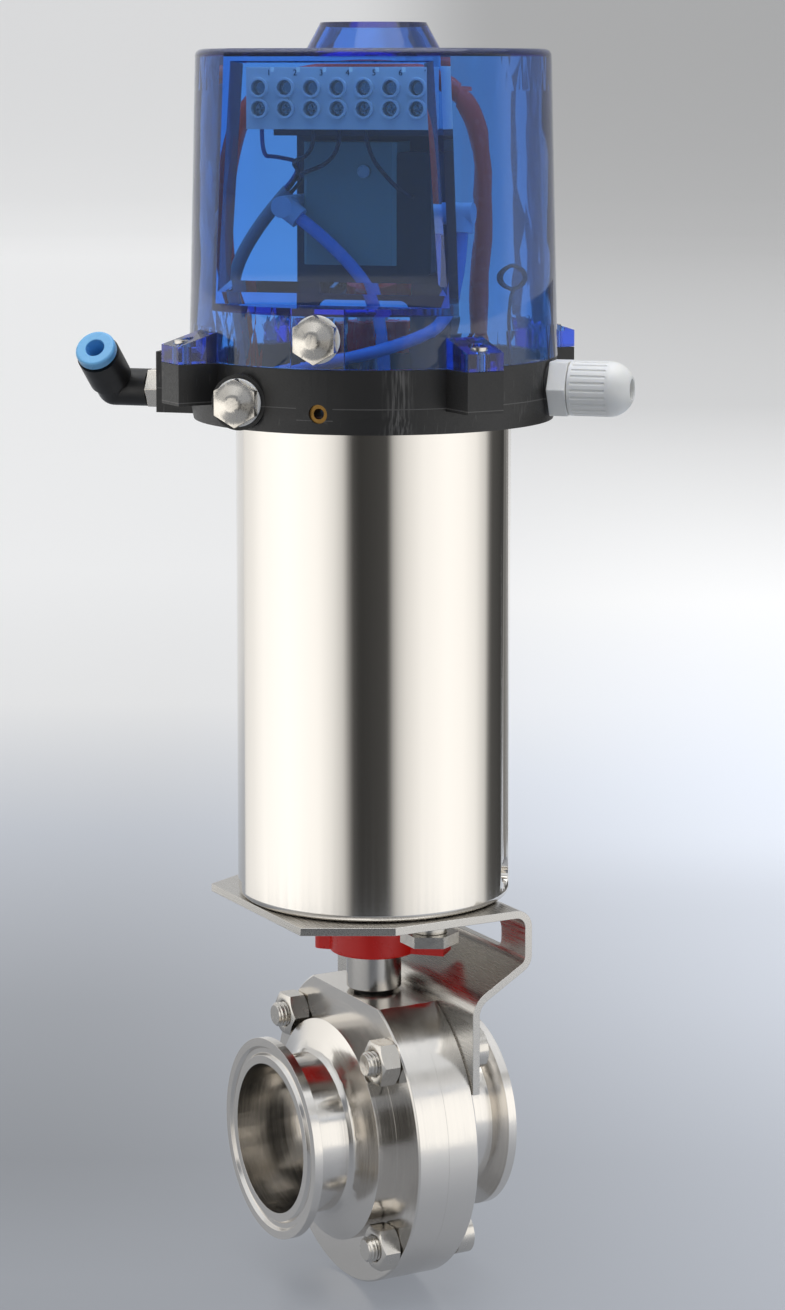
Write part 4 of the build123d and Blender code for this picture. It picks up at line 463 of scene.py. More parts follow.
@kept
def black_nylon():
    """Glass-filled black nylon, moulded: a fine spark-eroded grain, a pale parting line and pale scuffs.

    The grain is drawn 0.5 mm coarse, so that it shows. The parting line runs round the base and steps down 3.6 mm
    round the brass insert, and a wide upright scuff lies to the right of it, where the head has been handled.
    """
    base, worn = tuple(colours().base), linear("#8D8A86")
    material, tree, shader, where = started("Moulded black nylon", base, IOR=1.53)
    grain = add(tree, "ShaderNodeTexNoise", {"Vector": where, "Scale": 1 / (0.5 * MM), "Detail": 3.0}, "Fac")
    scratch = streaked(tree, where, (1 / (14 * MM), 1 / (0.5 * MM), 1 / (7 * MM)), 1.0, turn=(0.5, 0.9, 0.4))
    patch = add(tree, "ShaderNodeTexNoise", {"Vector": where, "Scale": 1 / (26 * MM), "Detail": 3.0}, "Fac")
    rubbed = add(tree, "ShaderNodeMath", {0: scratch, 1: patch}, 0, operation="MULTIPLY")
    scuff = add(tree, "ShaderNodeMapRange", {"Value": rubbed, "From Min": 0.33, "From Max": 0.46, "To Min": 0.0,
                                             "To Max": 0.3}, "Result")

    line_height, line_half, step_down, step_half, step_shift = 239.2 * MM, 0.16 * MM, -3.6 * MM, 5.8 * MM, -1.2 * MM
    scuff_beside = 24 * MM
    low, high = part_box("brass_insert")
    middle = Vector([(a + b) / 2 for a, b in zip(low, high)])
    way = Vector((middle.x, middle.y - STEM_Y, 0)).normalized()
    level = Vector((-way.y, way.x, 0))
    beside = add(tree, "ShaderNodeVectorMath", {0: where, 1: level}, "Value", operation="DOT_PRODUCT")
    parts = add(tree, "ShaderNodeSeparateXYZ", {"Vector": where})
    off = add(tree, "ShaderNodeMath", {0: beside, 1: middle.dot(level) + step_shift, 2: step_half}, 0,
              operation="COMPARE")
    line = add(tree, "ShaderNodeMath", {0: off, 1: step_down, 2: line_height}, 0, operation="MULTIPLY_ADD")
    on_line = add(tree, "ShaderNodeMath", {0: parts.outputs["Z"], 1: line, 2: line_half}, 0, operation="COMPARE")

    wide = add(tree, "ShaderNodeMath", {0: beside, 1: middle.dot(level) + scuff_beside}, 0, operation="SUBTRACT")
    near = add(tree, "ShaderNodeMapRange", {"Value": add(tree, "ShaderNodeMath", {0: wide}, 0, operation="ABSOLUTE"),
                                            "From Min": 5 * MM, "From Max": 1 * MM}, "Result")
    streaks = streaked(tree, where, (1 / (0.9 * MM), 1 / (0.9 * MM), 1 / (12 * MM)))
    mark = add(tree, "ShaderNodeMapRange", {"Value": streaks, "From Min": 0.46, "From Max": 0.62, "To Min": 0.0,
                                            "To Max": 0.42}, "Result")
    rub = add(tree, "ShaderNodeMath", {0: near, 1: mark}, 0, operation="MULTIPLY")
    both = add(tree, "ShaderNodeMath", {0: scuff, 1: rub}, 0, operation="MAXIMUM")
    pale = add(tree, "ShaderNodeMath", {0: on_line, 1: 0.3}, 0, operation="MULTIPLY")
    most = add(tree, "ShaderNodeMath", {0: both, 1: pale}, 0, operation="MAXIMUM")
    shade = add(tree, "ShaderNodeMix", {"Factor": most, "A": base, "B": worn}, data_type="RGBA")
    raised = add(tree, "ShaderNodeMath", {0: grain, 1: on_line}, 0, operation="ADD")
    skinned(tree, shader, grain, (0.38, 0.55), 0.04, height=raised)
    wire(tree, shader, {"Base Color": shade.outputs["Result"]})
    return material


@kept
def clear_blue():
    """Clear blue polycarbonate, injection moulded and glossy: the longer the way through it, the deeper the blue."""
    material, tree, shader, where = started("Clear blue polycarbonate", "#E6F4FF", IOR=1.5,
                                            Transmission_Weight=0.965)
    flow = add(tree, "ShaderNodeTexNoise", {"Vector": where, "Scale": 1 / (22 * MM), "Detail": 1.0}, "Fac")
    skinned(tree, shader, flow, (0.01, 0.05), span=(0, 1))
    output = next(node for node in tree.nodes if node.type == "OUTPUT_MATERIAL")
    tint = add(tree, "ShaderNodeVolumeAbsorption", {"Color": tuple(colours().cover), "Density": 410.0}, "Volume")
    wire(tree, output, {"Volume": tint})
    return material


@kept
def natural_nylon():
    """Natural polyamide, moulded: milky white that lets some light through."""
    material, tree, shader, where = started("Natural moulded nylon", colours().gland, IOR=1.53,
                                            Subsurface_Weight=0.35, Subsurface_Radius=(1.0, 0.95, 0.85),
                                            Subsurface_Scale=1.6 * MM)
    skin = add(tree, "ShaderNodeTexNoise", {"Vector": where, "Scale": 1 / (2 * MM), "Detail": 2.0}, "Fac")
    skinned(tree, shader, skin, (0.24, 0.44), 0.02, 0.4, span=(0, 1))
    return material


@kept
def moulded(name, code, low, high):
    """Injection-moulded thermoplastic with a glossy skin that is a little uneven."""
    material, tree, shader, where = started(name, code, IOR=1.49)
    skin = add(tree, "ShaderNodeTexNoise", {"Vector": where, "Scale": 1 / (6 * MM), "Detail": 3.0}, "Fac")
    skinned(tree, shader, skin, (low, high), 0.05, 0.3)
    return material


def red_plastic():
    """Red moulding of the indicator and the switch cam."""
    return moulded("Red moulded plastic", tuple(colours().indicator), 0.24, 0.36)


@kept
def coated_sheet():
    """Steel sheet with a dark blue-grey baked coating: even and softly glossy, with a fine orange peel."""
    material, tree, shader, where = started("Dark coated sheet", "#2A3140", IOR=1.5)
    peel = add(tree, "ShaderNodeTexNoise", {"Vector": where, "Scale": 1 / (0.9 * MM), "Detail": 2.0}, "Fac")
    skinned(tree, shader, peel, (0.34, 0.54), 0.03, 0.4, span=(0, 1))
    return material


@kept
def extruded(name, code):
    """Polyurethane or PVC, extruded: saturated and glossy, with an uneven sheen from the die."""
    material, tree, shader, where = started(name, code, IOR=1.5,
                                            Subsurface_Weight=0.15, Subsurface_Radius=(1.0, 0.6, 0.5),
                                            Subsurface_Scale=1.0 * MM)
    skin = add(tree, "ShaderNodeTexNoise", {"Vector": where, "Scale": 1 / (4 * MM), "Detail": 2.0}, "Fac")
    skinned(tree, shader, skin, (0.16, 0.34), span=(0, 1))
    return material


# Geometry trees

def geometry_tree(name, inputs):
    """New geometry tree with named inputs: a socket kind and default for each."""
    tree = bpy.data.node_groups.new(name, "GeometryNodeTree")
    for key, (kind, default) in inputs.items():
        socket = tree.interface.new_socket(key, in_out="INPUT", socket_type="NodeSocket" + kind)
        if default is not None:
            socket.default_value = default
    tree.interface.new_socket("Finish", in_out="INPUT", socket_type="NodeSocketMaterial")
    tree.interface.new_socket("Geometry", in_out="OUTPUT", socket_type="NodeSocketGeometry")
    return tree, tree.nodes.new("NodeGroupInput")


def closed_tree(tree, source, points, shape):
    """End a tree: a shape is copied to every point, the copies become real, and the finish is set."""
    copies = add(tree, "GeometryNodeInstanceOnPoints", {"Points": points, "Instance": shape}, "Instances")
    real = add(tree, "GeometryNodeRealizeInstances", {"Geometry": copies}, "Geometry")
    merged = add(tree, "GeometryNodeMergeByDistance", {"Geometry": real, "Distance": WELD}, "Geometry")
    done = add(tree, "GeometryNodeSetMaterial", {"Geometry": merged, "Material": source.outputs["Finish"]},
               "Geometry")
    add(tree, "NodeGroupOutput", {"Geometry": done})
    return tree


def thread_tree():
    """Tree of threaded bolt ends: a level grid is wound into one turned ridge, and copied to every point.

    The radius follows the pitch along the end and shrinks at its tip, and the end looks towards the inlet.
    """
    tree, source = geometry_tree("Threaded ends", {
        "Points": ("Object", None), "Radius": ("Float", 0.004), "Length": ("Float", 0.01),
        "Pitch": ("Float", 0.00125), "Depth": ("Float", 0.0005)})
    wants = source.outputs
    grid = add(tree, "GeometryNodeMeshGrid", {"Size X": 1.0, "Size Y": 1.0, "Vertices X": 49, "Vertices Y": 97},
               "Mesh")
    place = add(tree, "ShaderNodeSeparateXYZ", {"Vector": add(tree, "GeometryNodeInputPosition", out=0)})
    turn = add(tree, "ShaderNodeMath", {0: place.outputs["X"], 1: 0.5}, 0, operation="ADD")
    rise = add(tree, "ShaderNodeMath", {0: place.outputs["Y"], 1: 0.5}, 0, operation="ADD")
    height = add(tree, "ShaderNodeMath", {0: rise, 1: wants["Length"]}, 0, operation="MULTIPLY")
    turns = add(tree, "ShaderNodeMath", {0: height, 1: wants["Pitch"]}, 0, operation="DIVIDE")
    phase = add(tree, "ShaderNodeMath", {0: turns, 1: turn}, 0, operation="SUBTRACT")
    ridge = add(tree, "ShaderNodeMath", {0: phase, 1: 0.5}, 0, operation="PINGPONG")
    groove = add(tree, "ShaderNodeMapRange", {"Value": ridge, "From Min": 0.08, "From Max": 0.44, "To Min": 0.0,
                                              "To Max": wants["Depth"]}, "Result")
    body = add(tree, "ShaderNodeMath", {0: wants["Radius"], 1: groove}, 0, operation="SUBTRACT")
    left = add(tree, "ShaderNodeMath", {0: wants["Length"], 1: height}, 0, operation="SUBTRACT")
    tip = add(tree, "ShaderNodeMath", {0: wants["Depth"], 1: -1.5, 2: wants["Radius"]}, 0, operation="MULTIPLY_ADD")
    end = add(tree, "ShaderNodeMath", {0: left, 1: tip}, 0, operation="ADD")
    least = add(tree, "ShaderNodeMath", {0: body, 1: end}, 0, operation="MINIMUM")
    open_end = add(tree, "ShaderNodeMath", {0: rise, 1: 0.995}, 0, operation="LESS_THAN")
    radius = add(tree, "ShaderNodeMath", {0: least, 1: open_end}, 0, operation="MULTIPLY")
    angle = add(tree, "ShaderNodeMath", {0: turn, 1: 2 * math.pi}, 0, operation="MULTIPLY")
    across = add(tree, "ShaderNodeMath", {0: angle}, 0, operation="COSINE")
    up = add(tree, "ShaderNodeMath", {0: angle}, 0, operation="SINE")
    wound = add(tree, "ShaderNodeCombineXYZ", {
        "X": add(tree, "ShaderNodeMath", {0: radius, 1: across}, 0, operation="MULTIPLY"),
        "Y": add(tree, "ShaderNodeMath", {0: height, 1: -1.0}, 0, operation="MULTIPLY"),
        "Z": add(tree, "ShaderNodeMath", {0: radius, 1: up}, 0, operation="MULTIPLY")}, "Vector")
    soft = add(tree, "GeometryNodeSetShadeSmooth", {
        "Geometry": grid, "Selection": add(tree, "ShaderNodeMath", {0: rise, 1: 0.99}, 0, operation="LESS_THAN")},
        "Geometry")
    ends = add(tree, "GeometryNodeSetPosition", {"Geometry": soft, "Position": wound}, "Geometry")
    points = add(tree, "GeometryNodeObjectInfo", {"Object": wants["Points"]}, "Geometry")
    return closed_tree(tree, source, points, ends)


def copies_tree():
    """Tree of like pieces: one shape set on every point of a small mesh."""
    tree, source = geometry_tree("Copies on points", {"Points": ("Object", None), "Shape": ("Object", None)})
    points = add(tree, "GeometryNodeObjectInfo", {"Object": source.outputs["Points"]}, "Geometry")
    shape = add(tree, "GeometryNodeObjectInfo", {"Object": source.outputs["Shape"]}, "Geometry")
    return closed_tree(tree, source, points, shape)


def row_tree():
    """Tree of a straight row: one shape repeated along a step."""
    tree, source = geometry_tree("Row of copies", {"Shape": ("Object", None), "Count": ("Int", 7),
                                                   "Step": ("Vector", (0, 0.008, 0))})
    index = add(tree, "GeometryNodeInputIndex", out="Index")
    points = add(tree, "GeometryNodePoints", {"Count": source.outputs["Count"]}, "Points")
    shift = add(tree, "ShaderNodeVectorMath", {0: source.outputs["Step"], "Scale": index}, "Vector",
                operation="SCALE")
    placed = add(tree, "GeometryNodeSetPosition", {"Geometry": points, "Position": shift}, "Geometry")
    shape = add(tree, "GeometryNodeObjectInfo", {"Object": source.outputs["Shape"]}, "Geometry")
    return closed_tree(tree, source, placed, shape)


def marks(places):
    """Mesh object of loose points that says where copies go."""
    mesh = bpy.data.meshes.new("places")
    mesh.from_pydata([tuple(place) for place in places], [], [])
    return shown("places", mesh)


def cord(name, node, points, radius, finish):
    """Cord on one smooth curve through its route, in the place of a frame solid; lengths in millimetres."""
    curve = bpy.data.curves.new(name, "CURVE")
    curve.dimensions, curve.resolution_u = "3D", 24
    curve.bevel_depth, curve.bevel_resolution, curve.use_fill_caps = radius * MM, 6, True
    spline = curve.splines.new("NURBS")
    spline.points.add(len(points) - 1)
    for point, place in zip(spline.points, points):
        point.co = (*place, 1.0)
    spline.order_u, spline.use_endpoint_u = 3, True
    curve.materials.append(finish)
    obj = shown(name, curve)
    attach(obj, BODY_OF[node])
    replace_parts(obj, node)
    return obj


# Operators

class VALVE_OT_stage(bpy.types.Operator):
    """Set the camera, the pale bowl under and behind the valve, the light tent and the light above"""
    bl_idname = "valve.stage"
    bl_label = "Stage"

    def execute(self, context):
        values = context.scene.valve_stage
        camera = shown("camera", bpy.data.cameras.new("camera"))
        camera.location = (0.91588, -0.45276, 0.34023)
        camera.rotation_euler = (math.radians(84), 0, math.radians(61.483))
        camera.data.lens, camera.data.sensor_width, camera.data.shift_y = 89.942, 36, -0.1819
        camera.data.clip_start, camera.data.clip_end = 0.02, 40
        context.scene.camera = camera
        context.scene.view_settings.view_transform = "Standard"

        # The bowl's colour holds painted light and shade: it is brighter on its right side, a painted pool of light
        # where the window of the studio is, greyer up and to the left, and darker close in front of the valve. Its
        # greys lie on the way back from the stem and up, in metres, and the near ones take the floor's tint
        floor_r, wall_top, fillet, first_depth, last_depth, cold_depth = 9000, 8000, 3000, -0.4, 9.6, 0.8
        left = [(-0.35, 138), (0, 146), (0.1, 128), (0.31, 144), (0.62, 181), (0.97, 211), (1.5, 222), (3, 218),
                (7, 214), (9, 222)]
        right = [(-0.35, 176), (0, 198), (0.1, 206), (0.31, 226), (0.48, 232), (0.6, 252), (0.74, 255),
                 (1.36, 255), (1.9, 236), (2.8, 204), (6, 172), (9, 172)]
        low = CAD_BOX[0].z
        bm = bmesh.new()
        turned(bm, rounded([(0, 0), (floor_r, 0), (floor_r, wall_top)], fillet, steps=12), 96,
               Matrix.Translation((0, STEM_Y, low)))
        bowl, tree, shader, where = started("Pale bowl with painted light", values.bowl, IOR=1.4, Roughness=0.3)
        c, s = math.cos(CAMERA_TURN), math.sin(CAMERA_TURN)
        away = add(tree, "ShaderNodeVectorMath", {0: where, 1: (-c, -s, 1)}, "Value", operation="DOT_PRODUCT")
        side = add(tree, "ShaderNodeVectorMath", {0: where, 1: (-s, c, 0)}, "Value", operation="DOT_PRODUCT")
        start = low - s * STEM_Y
        share = add(tree, "ShaderNodeMapRange", {"Value": away, "From Min": start + first_depth,
                                                 "From Max": start + last_depth}, "Result")
        painted_light_ramps = []
        for stops in (left, right):
            greys = add(tree, "ShaderNodeValToRGB", {"Fac": share})
            filled(greys.color_ramp, [((depth - first_depth) / (last_depth - first_depth), [
                tint * part for tint, part in zip(values.bowl if depth < cold_depth else (1, 1, 1, 1),
                                                  linear("#" + 3 * f"{level:02x}"))]) for depth, level in stops])
            painted_light_ramps.append(greys.outputs["Color"])
        across = add(tree, "ShaderNodeMapRange", {
            "Value": side, "From Min": c * STEM_Y - 0.15, "From Max": c * STEM_Y + 0.3}, "Result",
            interpolation_type="SMOOTHSTEP")
        shade = add(tree, "ShaderNodeMix", {"Factor": across, "A": painted_light_ramps[0], "B": painted_light_ramps[1]}, data_type="RGBA")
        # The painted light and shade go into both the dimmed base colour and the glow, so the bowl shows them under
        # any lamp
        dim = add(tree, "ShaderNodeMix", {"Factor": 0.55, "A": shade.outputs["Result"], "B": (0, 0, 0, 1)},
                  data_type="RGBA")
        wire(tree, shader, {"Base Color": dim.outputs["Result"], "Emission Color": shade.outputs["Result"],
                            "Emission Strength": values.painted_bowl_glow})
        ground = flat_kept(piece("floor", bm, bowl, None))

        # The tent is a low ring of light and dark panels, open behind the valve and seen only in reflections
        first, last, tent_r, panels = -135, 150, 0.5, 95
        bm = bmesh.new()
        rows = [[bm.verts.new(Matrix.Translation((0, STEM_Y, low)) @ Matrix.Rotation(
            CAMERA_TURN + math.radians(first + k * (last - first) / panels), 4, "Z") @ Vector((tent_r, 0, height)))
            for k in range(panels + 1)] for height in (0.001, 0.1, 0.2, 0.3)]
        for under, over in zip(rows, rows[1:]):
            for k in range(panels):
                bm.faces.new((under[k + 1], under[k], over[k], over[k + 1]))
        tent = bpy.data.materials.new("Light tent")
        tent.use_nodes = True
        tree = tent.node_tree
        tree.nodes.clear()
        where = add(tree, "ShaderNodeTexCoord", out="Object")
        turned_place = add(tree, "ShaderNodeMapping", {"Vector": where, "Location": (0, STEM_Y, 0),
                                                       "Rotation": (0, 0, CAMERA_TURN)}, "Vector",
                           vector_type="TEXTURE")
        parts = add(tree, "ShaderNodeSeparateXYZ", {"Vector": turned_place})
        angle = add(tree, "ShaderNodeMath", {0: parts.outputs["Y"], 1: parts.outputs["X"]}, 0, operation="ARCTAN2")
        share = add(tree, "ShaderNodeMapRange", {"Value": angle, "From Min": -math.pi, "From Max": math.pi}, "Result")
        bands = add(tree, "ShaderNodeValToRGB", {"Fac": share})
        stops = [(-145, 0.45), (-130, 0.68), (-116, 0.77), (-103, 0.9), (-74, 1.0), (-46, 0.9), (-31, 0.69),
                 (-24, 0.49), (-19, 0.15), (-16, 0.05), (-9, 0.03), (12, 0.05), (16, 0.3), (19, 0.48), (26, 0.64),
                 (40, 0.83), (61, 0.93), (78, 0.89), (92, 0.75), (102, 0.52), (108, 0.15), (113, 0.065),
                 (132, 0.03), (145, 0.2)]
        filled(bands.color_ramp, [((degrees + 180) / 360, (value, value * 0.99, value * 0.97, 1))
                                  for degrees, value in stops])
        glow = add(tree, "ShaderNodeEmission", {"Color": bands.outputs["Color"], "Strength": values.tent_strength},
                   "Emission")
        add(tree, "ShaderNodeOutputMaterial", {"Surface": glow})
        ring = piece("tent", bm, tent, None, faces_out=False)
        ring.visible_camera = ring.visible_shadow = ring.visible_transmission = ring.visible_diffuse = False

        # Two black flags beside the backdrop are seen only through the cover: dark sheets that put painted shade into
        # its dark edges
        behind, flag_top, strips = -900, 700, 4
        bm = bmesh.new()
        for near, far in ((-620, -165), (150, 620)):
            for k in range(strips):
                a, b = near + (far - near) * k / strips, near + (far - near) * (k + 1) / strips
                bm.faces.new([bm.verts.new(spot(behind, t, up, CAMERA_TURN)) for t, up in (
                    (a, low / MM), (b, low / MM), (b, flag_top), (a, flag_top))])
        shade_flag = started("Black felt", "#14161C", Roughness=0.9)[0]
        flags = piece("flags", bm, shade_flag, None, faces_out=False)
        flags.visible_camera = flags.visible_shadow = flags.visible_glossy = flags.visible_diffuse = False

        lamp = bpy.data.lights.new("top light", "AREA")
        lamp.shape, lamp.size, lamp.size_y, lamp.energy = "RECTANGLE", 1.2, 1.2, values.top_power
        shown("top light", lamp).location = (0.1, 0.0, 1.25)

        world = bpy.data.worlds.new("studio")
        context.scene.world = world
        world.use_nodes = True
        tree = world.node_tree
        tree.nodes.clear()
        sky = add(tree, "ShaderNodeBackground", {"Color": linear("#F1F4F8"), "Strength": values.sky_strength},
                  "Background")
        add(tree, "ShaderNodeOutputWorld", {"Surface": sky})
        return {"FINISHED"}


class VALVE_OT_hoses(bpy.types.Operator):
    """Make the air tubes, the cable and the wires as cords along their routes"""
    bl_idname = "valve.hoses"
    bl_label = "Tubes and wires"

    def execute(self, context):
        red = extruded("Orange-red polyurethane tube", tuple(colours().arch_tube))
        blue = extruded("Light blue polyurethane tube", tuple(colours().small_tube))
        grey = extruded("Grey PVC jacket", "#7E8A98")
        dark = extruded("Black PVC wire", "#20222B")
        loop = [(8.0 + 1.2 * k / 12, 47.3 + 3.72 * math.sin(math.radians(30 * k)),
                 277.0 - 3.72 * math.cos(math.radians(30 * k))) for k in range(13)]
        for name, node, points, radius, total, finish in (
                ("arch_tube", "red_air_tube", [
                    (-8, -45, 240.8), (-8, -45, 256), (0, -49.8, 276), (1, -49.8, 306), (-7, -43.5, 336),
                    (-11, -7, 343),
                    (-10, 29, 337.5), (-9.5, 34.8, 303), (-9.5, 32, 270), (-9.5, 32, 240.8)], 3.0, 259.0, red),
                ("valve_tube", "blue_air_tube", [
                    (31, -14.146, 295.473), (31, -1.202, 286.069), (31, 12.9, 268), (31, 12.9, 240.8)],
                 2.0, 65.3, blue),
                ("inlet_tube", "supply_tube", [
                    (9, -45, 242.8), (24, -45, 242.8), (41, -28, 246), (46, -4, 251.5), (40, 20, 257),
                    (22, 34, 265), (18.74, 34, 291.05)], 2.0, 135.3, blue),
                ("solenoid_cable", "signal_cable", [
                    (16, -38, 240.8), (16, -38, 258), (15, -44, 281), (14, -23.5, 303.5)], 2.1, 69.6, grey),
                ("wire_to_pole_1", "blue_wire", [
                    (14, -24.387, 304.308), (13.659, -17.387, 311.992), (27.6, -23.5, 314.5),
                    (36, -24.7, 314.6), (36, -24.7, 323)], 0.65, 38.7, extruded("Blue PVC wire", "#2E57A6")),
                ("wire_to_pole_3", "dark_wires", [
                    (15.199, -23.474, 303.529), (14.97, -18.762, 308.701), (30, -17.5, 313), (36, -7.9, 315.5),
                    (36, -7.9, 323)], 0.65, 38.0, dark),
                ("wire_to_pole_4", "dark_wires", [
                    (14, -22.613, 302.692), (13.698, -16.42, 309.489), (31.5, -15.5, 308.5), (36, 0.5, 314),
                    (36, 0.5, 323)], 0.65, 45.0, dark),
                ("wire_to_coil", "dark_wires", [
                    (36, 8.9, 323), (36, 8.9, 316), (34, 17, 306), (31.5, 21.1, 302.5), (26, 21.1, 302.5)],
                 0.65, 33.0, dark),
                ("spare_wire", "spare_leads", [
                    (8, 46.8, 240.8), (8, 46.8, 250), (9.5, 45.8, 262), (8, 47.3, 273.4)] + loop[1:], 0.65, 54.9,
                 dark)):
            cord(name, node, [spot(*point) for point in points], radius, finish)
        return {"FINISHED"}


class VALVE_OT_body(bpy.types.Operator):
    """Finish the body halves, the seat, the disc and the bushings"""
    bl_idname = "valve.body"
    bl_label = "Valve body"

    def execute(self, context):
        for node in ("body_front_half", "body_rear_half"):
            dressed(node, turned_stainless(), sizes().edge_break * 1.6)
        dressed("valve_disc", turned_stainless())
        for node in ("seat_ring", "upper_bushing", "lower_bushing"):
            dressed(node, black_rubber())
        return {"FINISHED"}


class VALVE_OT_fasteners(bpy.types.Operator):
    """Make the chamfered nuts and the threaded ends of the body bolts, and finish the other bolts and screws"""
    bl_idname = "valve.fasteners"
    bl_label = "Fasteners"

    def execute(self, context):
        edge = sizes().edge_break
        for node in ("plate_bolts", "plate_sleeves", "cover_screws", "base_screws"):
            dressed(node, bright_fastener(), edge)
        thread_start, bolt_x, bolt_z, bolt_r, thread_long, nut_back = 21.5, 31.5, 30, 4, 3.9, 5.8
        dressed("body_bolts", bright_fastener(), edge, cut_at=thread_start)
        at_bolts = [Vector((x, thread_start, z)) * MM for x in (-bolt_x, bolt_x) for z in (-bolt_z, bolt_z)]
        ends = grown("body_bolt_threads", thread_tree(), {
            "Points": marks(at_bolts), "Radius": bolt_r * MM, "Length": thread_long * MM,
            "Pitch": sizes().thread_pitch, "Depth": sizes().thread_depth}, bright_fastener(), "valve")
        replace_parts(ends, "body_bolts")

        # A nut is a hexagon cut by a 30 degree cone at each end, so its edges bend to its corners
        flat, high, cone, corner_r, bore_r, bore_edge = 6.5, 6.5, 6.2, 8, 4.05, 0.5

        def hexagon(angle, radius, height):
            if radius < corner_r:
                return radius, height
            wall = flat / math.cos((angle + math.pi / 6) % (math.pi / 3) - math.pi / 6)
            drop = max(wall - cone, 0) * math.tan(math.radians(30))
            return wall, drop if height < high / 2 else high - drop

        bm = bmesh.new()
        turned(bm, [(bore_r, bore_edge), (bore_r + bore_edge, 0), (cone, 0), (corner_r, 0), (corner_r, high),
                    (cone, high), (bore_r + bore_edge, high), (bore_r, high - bore_edge)], 72,
               Matrix.Rotation(math.radians(90), 4, "X") @ Matrix.Rotation(math.radians(30), 4, "Z"), closed=True,
               shape=hexagon)
        nut = piece("nut", bm, bright_fastener(), None)
        nuts = grown("body_nuts_chamfered", copies_tree(), {
            "Points": marks([place + Vector((0, nut_back * MM, 0)) for place in at_bolts]), "Shape": nut},
            bright_fastener(), "valve")
        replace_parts(nuts, "body_nuts")
        return {"FINISHED"}


class VALVE_OT_bracket(bpy.types.Operator):
    """Finish the bracket, the coupling and the red indicator"""
    bl_idname = "valve.bracket"
    bl_label = "Bracket and indicator"

    def execute(self, context):
        dressed("mounting_bracket", ground_sheet(), sizes().edge_break * 1.6)
        dressed("stem_coupling", satin_steel(), sizes().edge_break)
        dressed("position_indicator", red_plastic(), sizes().moulded_edge)
        return {"FINISHED"}


class VALVE_OT_actuator(bpy.types.Operator):
    """Finish the cylinder and what moves inside it"""
    bl_idname = "valve.actuator"
    bl_label = "Actuator"

    def execute(self, context):
        dressed("actuator_cylinder", polished_tube())
        for node in ("drive_shaft", "guide_rods", "drive_pins"):
            dressed(node, satin_steel())
        for node in ("piston", "cylinder_lid"):
            dressed(node, metal("Turned aluminium", "#C2C4C6", 1.2, 0.32, 0.46, 0.01))
        for node in ("shaft_bearing", "piston_seal"):
            dressed(node, black_rubber())
        dressed("retaining_ring", bright_fastener())
        spring = dressed("return_spring", bright_fastener(), smooth=60)
        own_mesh(spring)
        return {"FINISHED"}


class VALVE_OT_base(bpy.types.Operator):
    """Finish the base of the control head with its vent plugs, insert, gland and elbow"""
    bl_idname = "valve.base"
    bl_label = "Head base"

    def execute(self, context):
        edge = sizes().moulded_edge
        dressed("head_base", black_nylon(), edge)
        for node in ("cover_seal", "gland_seal"):
            dressed(node, black_rubber())
        for node in ("base_vent_plug", "cover_vent_plug", "elbow_hex"):
            dressed(node, plated_nickel(), sizes().edge_break)
        for node in ("base_vent_washer", "cover_vent_washer", "gland_body", "gland_nut", "gland_locknut"):
            dressed(node, natural_nylon(), sizes().edge_break)
        dressed("brass_insert", metal("Turned brass", "#94713C", 1.5, 0.3, 0.45, 0.01))
        dressed("elbow_body", moulded("Black glass-filled nylon", tuple(colours().base), 0.34, 0.48), edge * 0.6)
        dressed("release_collet", moulded("Blue acetal", tuple(colours().collet), 0.2, 0.32), edge * 0.6)
        return {"FINISHED"}


class VALVE_OT_cover(bpy.types.Operator):
    """Finish the clear blue cover"""
    bl_idname = "valve.cover"
    bl_label = "Cover"

    def execute(self, context):
        cover = dressed("cover", clear_blue(), sizes().moulded_edge, smooth=12, corner=24)
        cover.visible_shadow = False
        return {"FINISHED"}


class VALVE_OT_inside(bpy.types.Operator):
    """Finish the frame, the solenoid valve, the cam and the switches inside the head"""
    bl_idname = "valve.inside"
    bl_label = "Inside of the head"

    def execute(self, context):
        edge = sizes().edge_break
        dressed("inner_frame", coated_sheet(), edge)
        dressed("solenoid_block", moulded("Grey-green nylon", "#7F9A8E", 0.35, 0.5), edge)
        dressed("override_button", bright_fastener())
        for node in ("solenoid_coil", "closed_switch", "open_switch"):
            dressed(node, moulded("Black epoxy", "#191A1E", 0.3, 0.45), edge)
        for node in ("closed_switch_lever", "open_switch_lever"):
            dressed(node, bright_fastener())
        dressed("switch_cam", red_plastic(), edge)
        dressed("tube_fittings", moulded("Pale blue acetal", "#A9CBE6", 0.25, 0.35), edge)
        return {"FINISHED"}


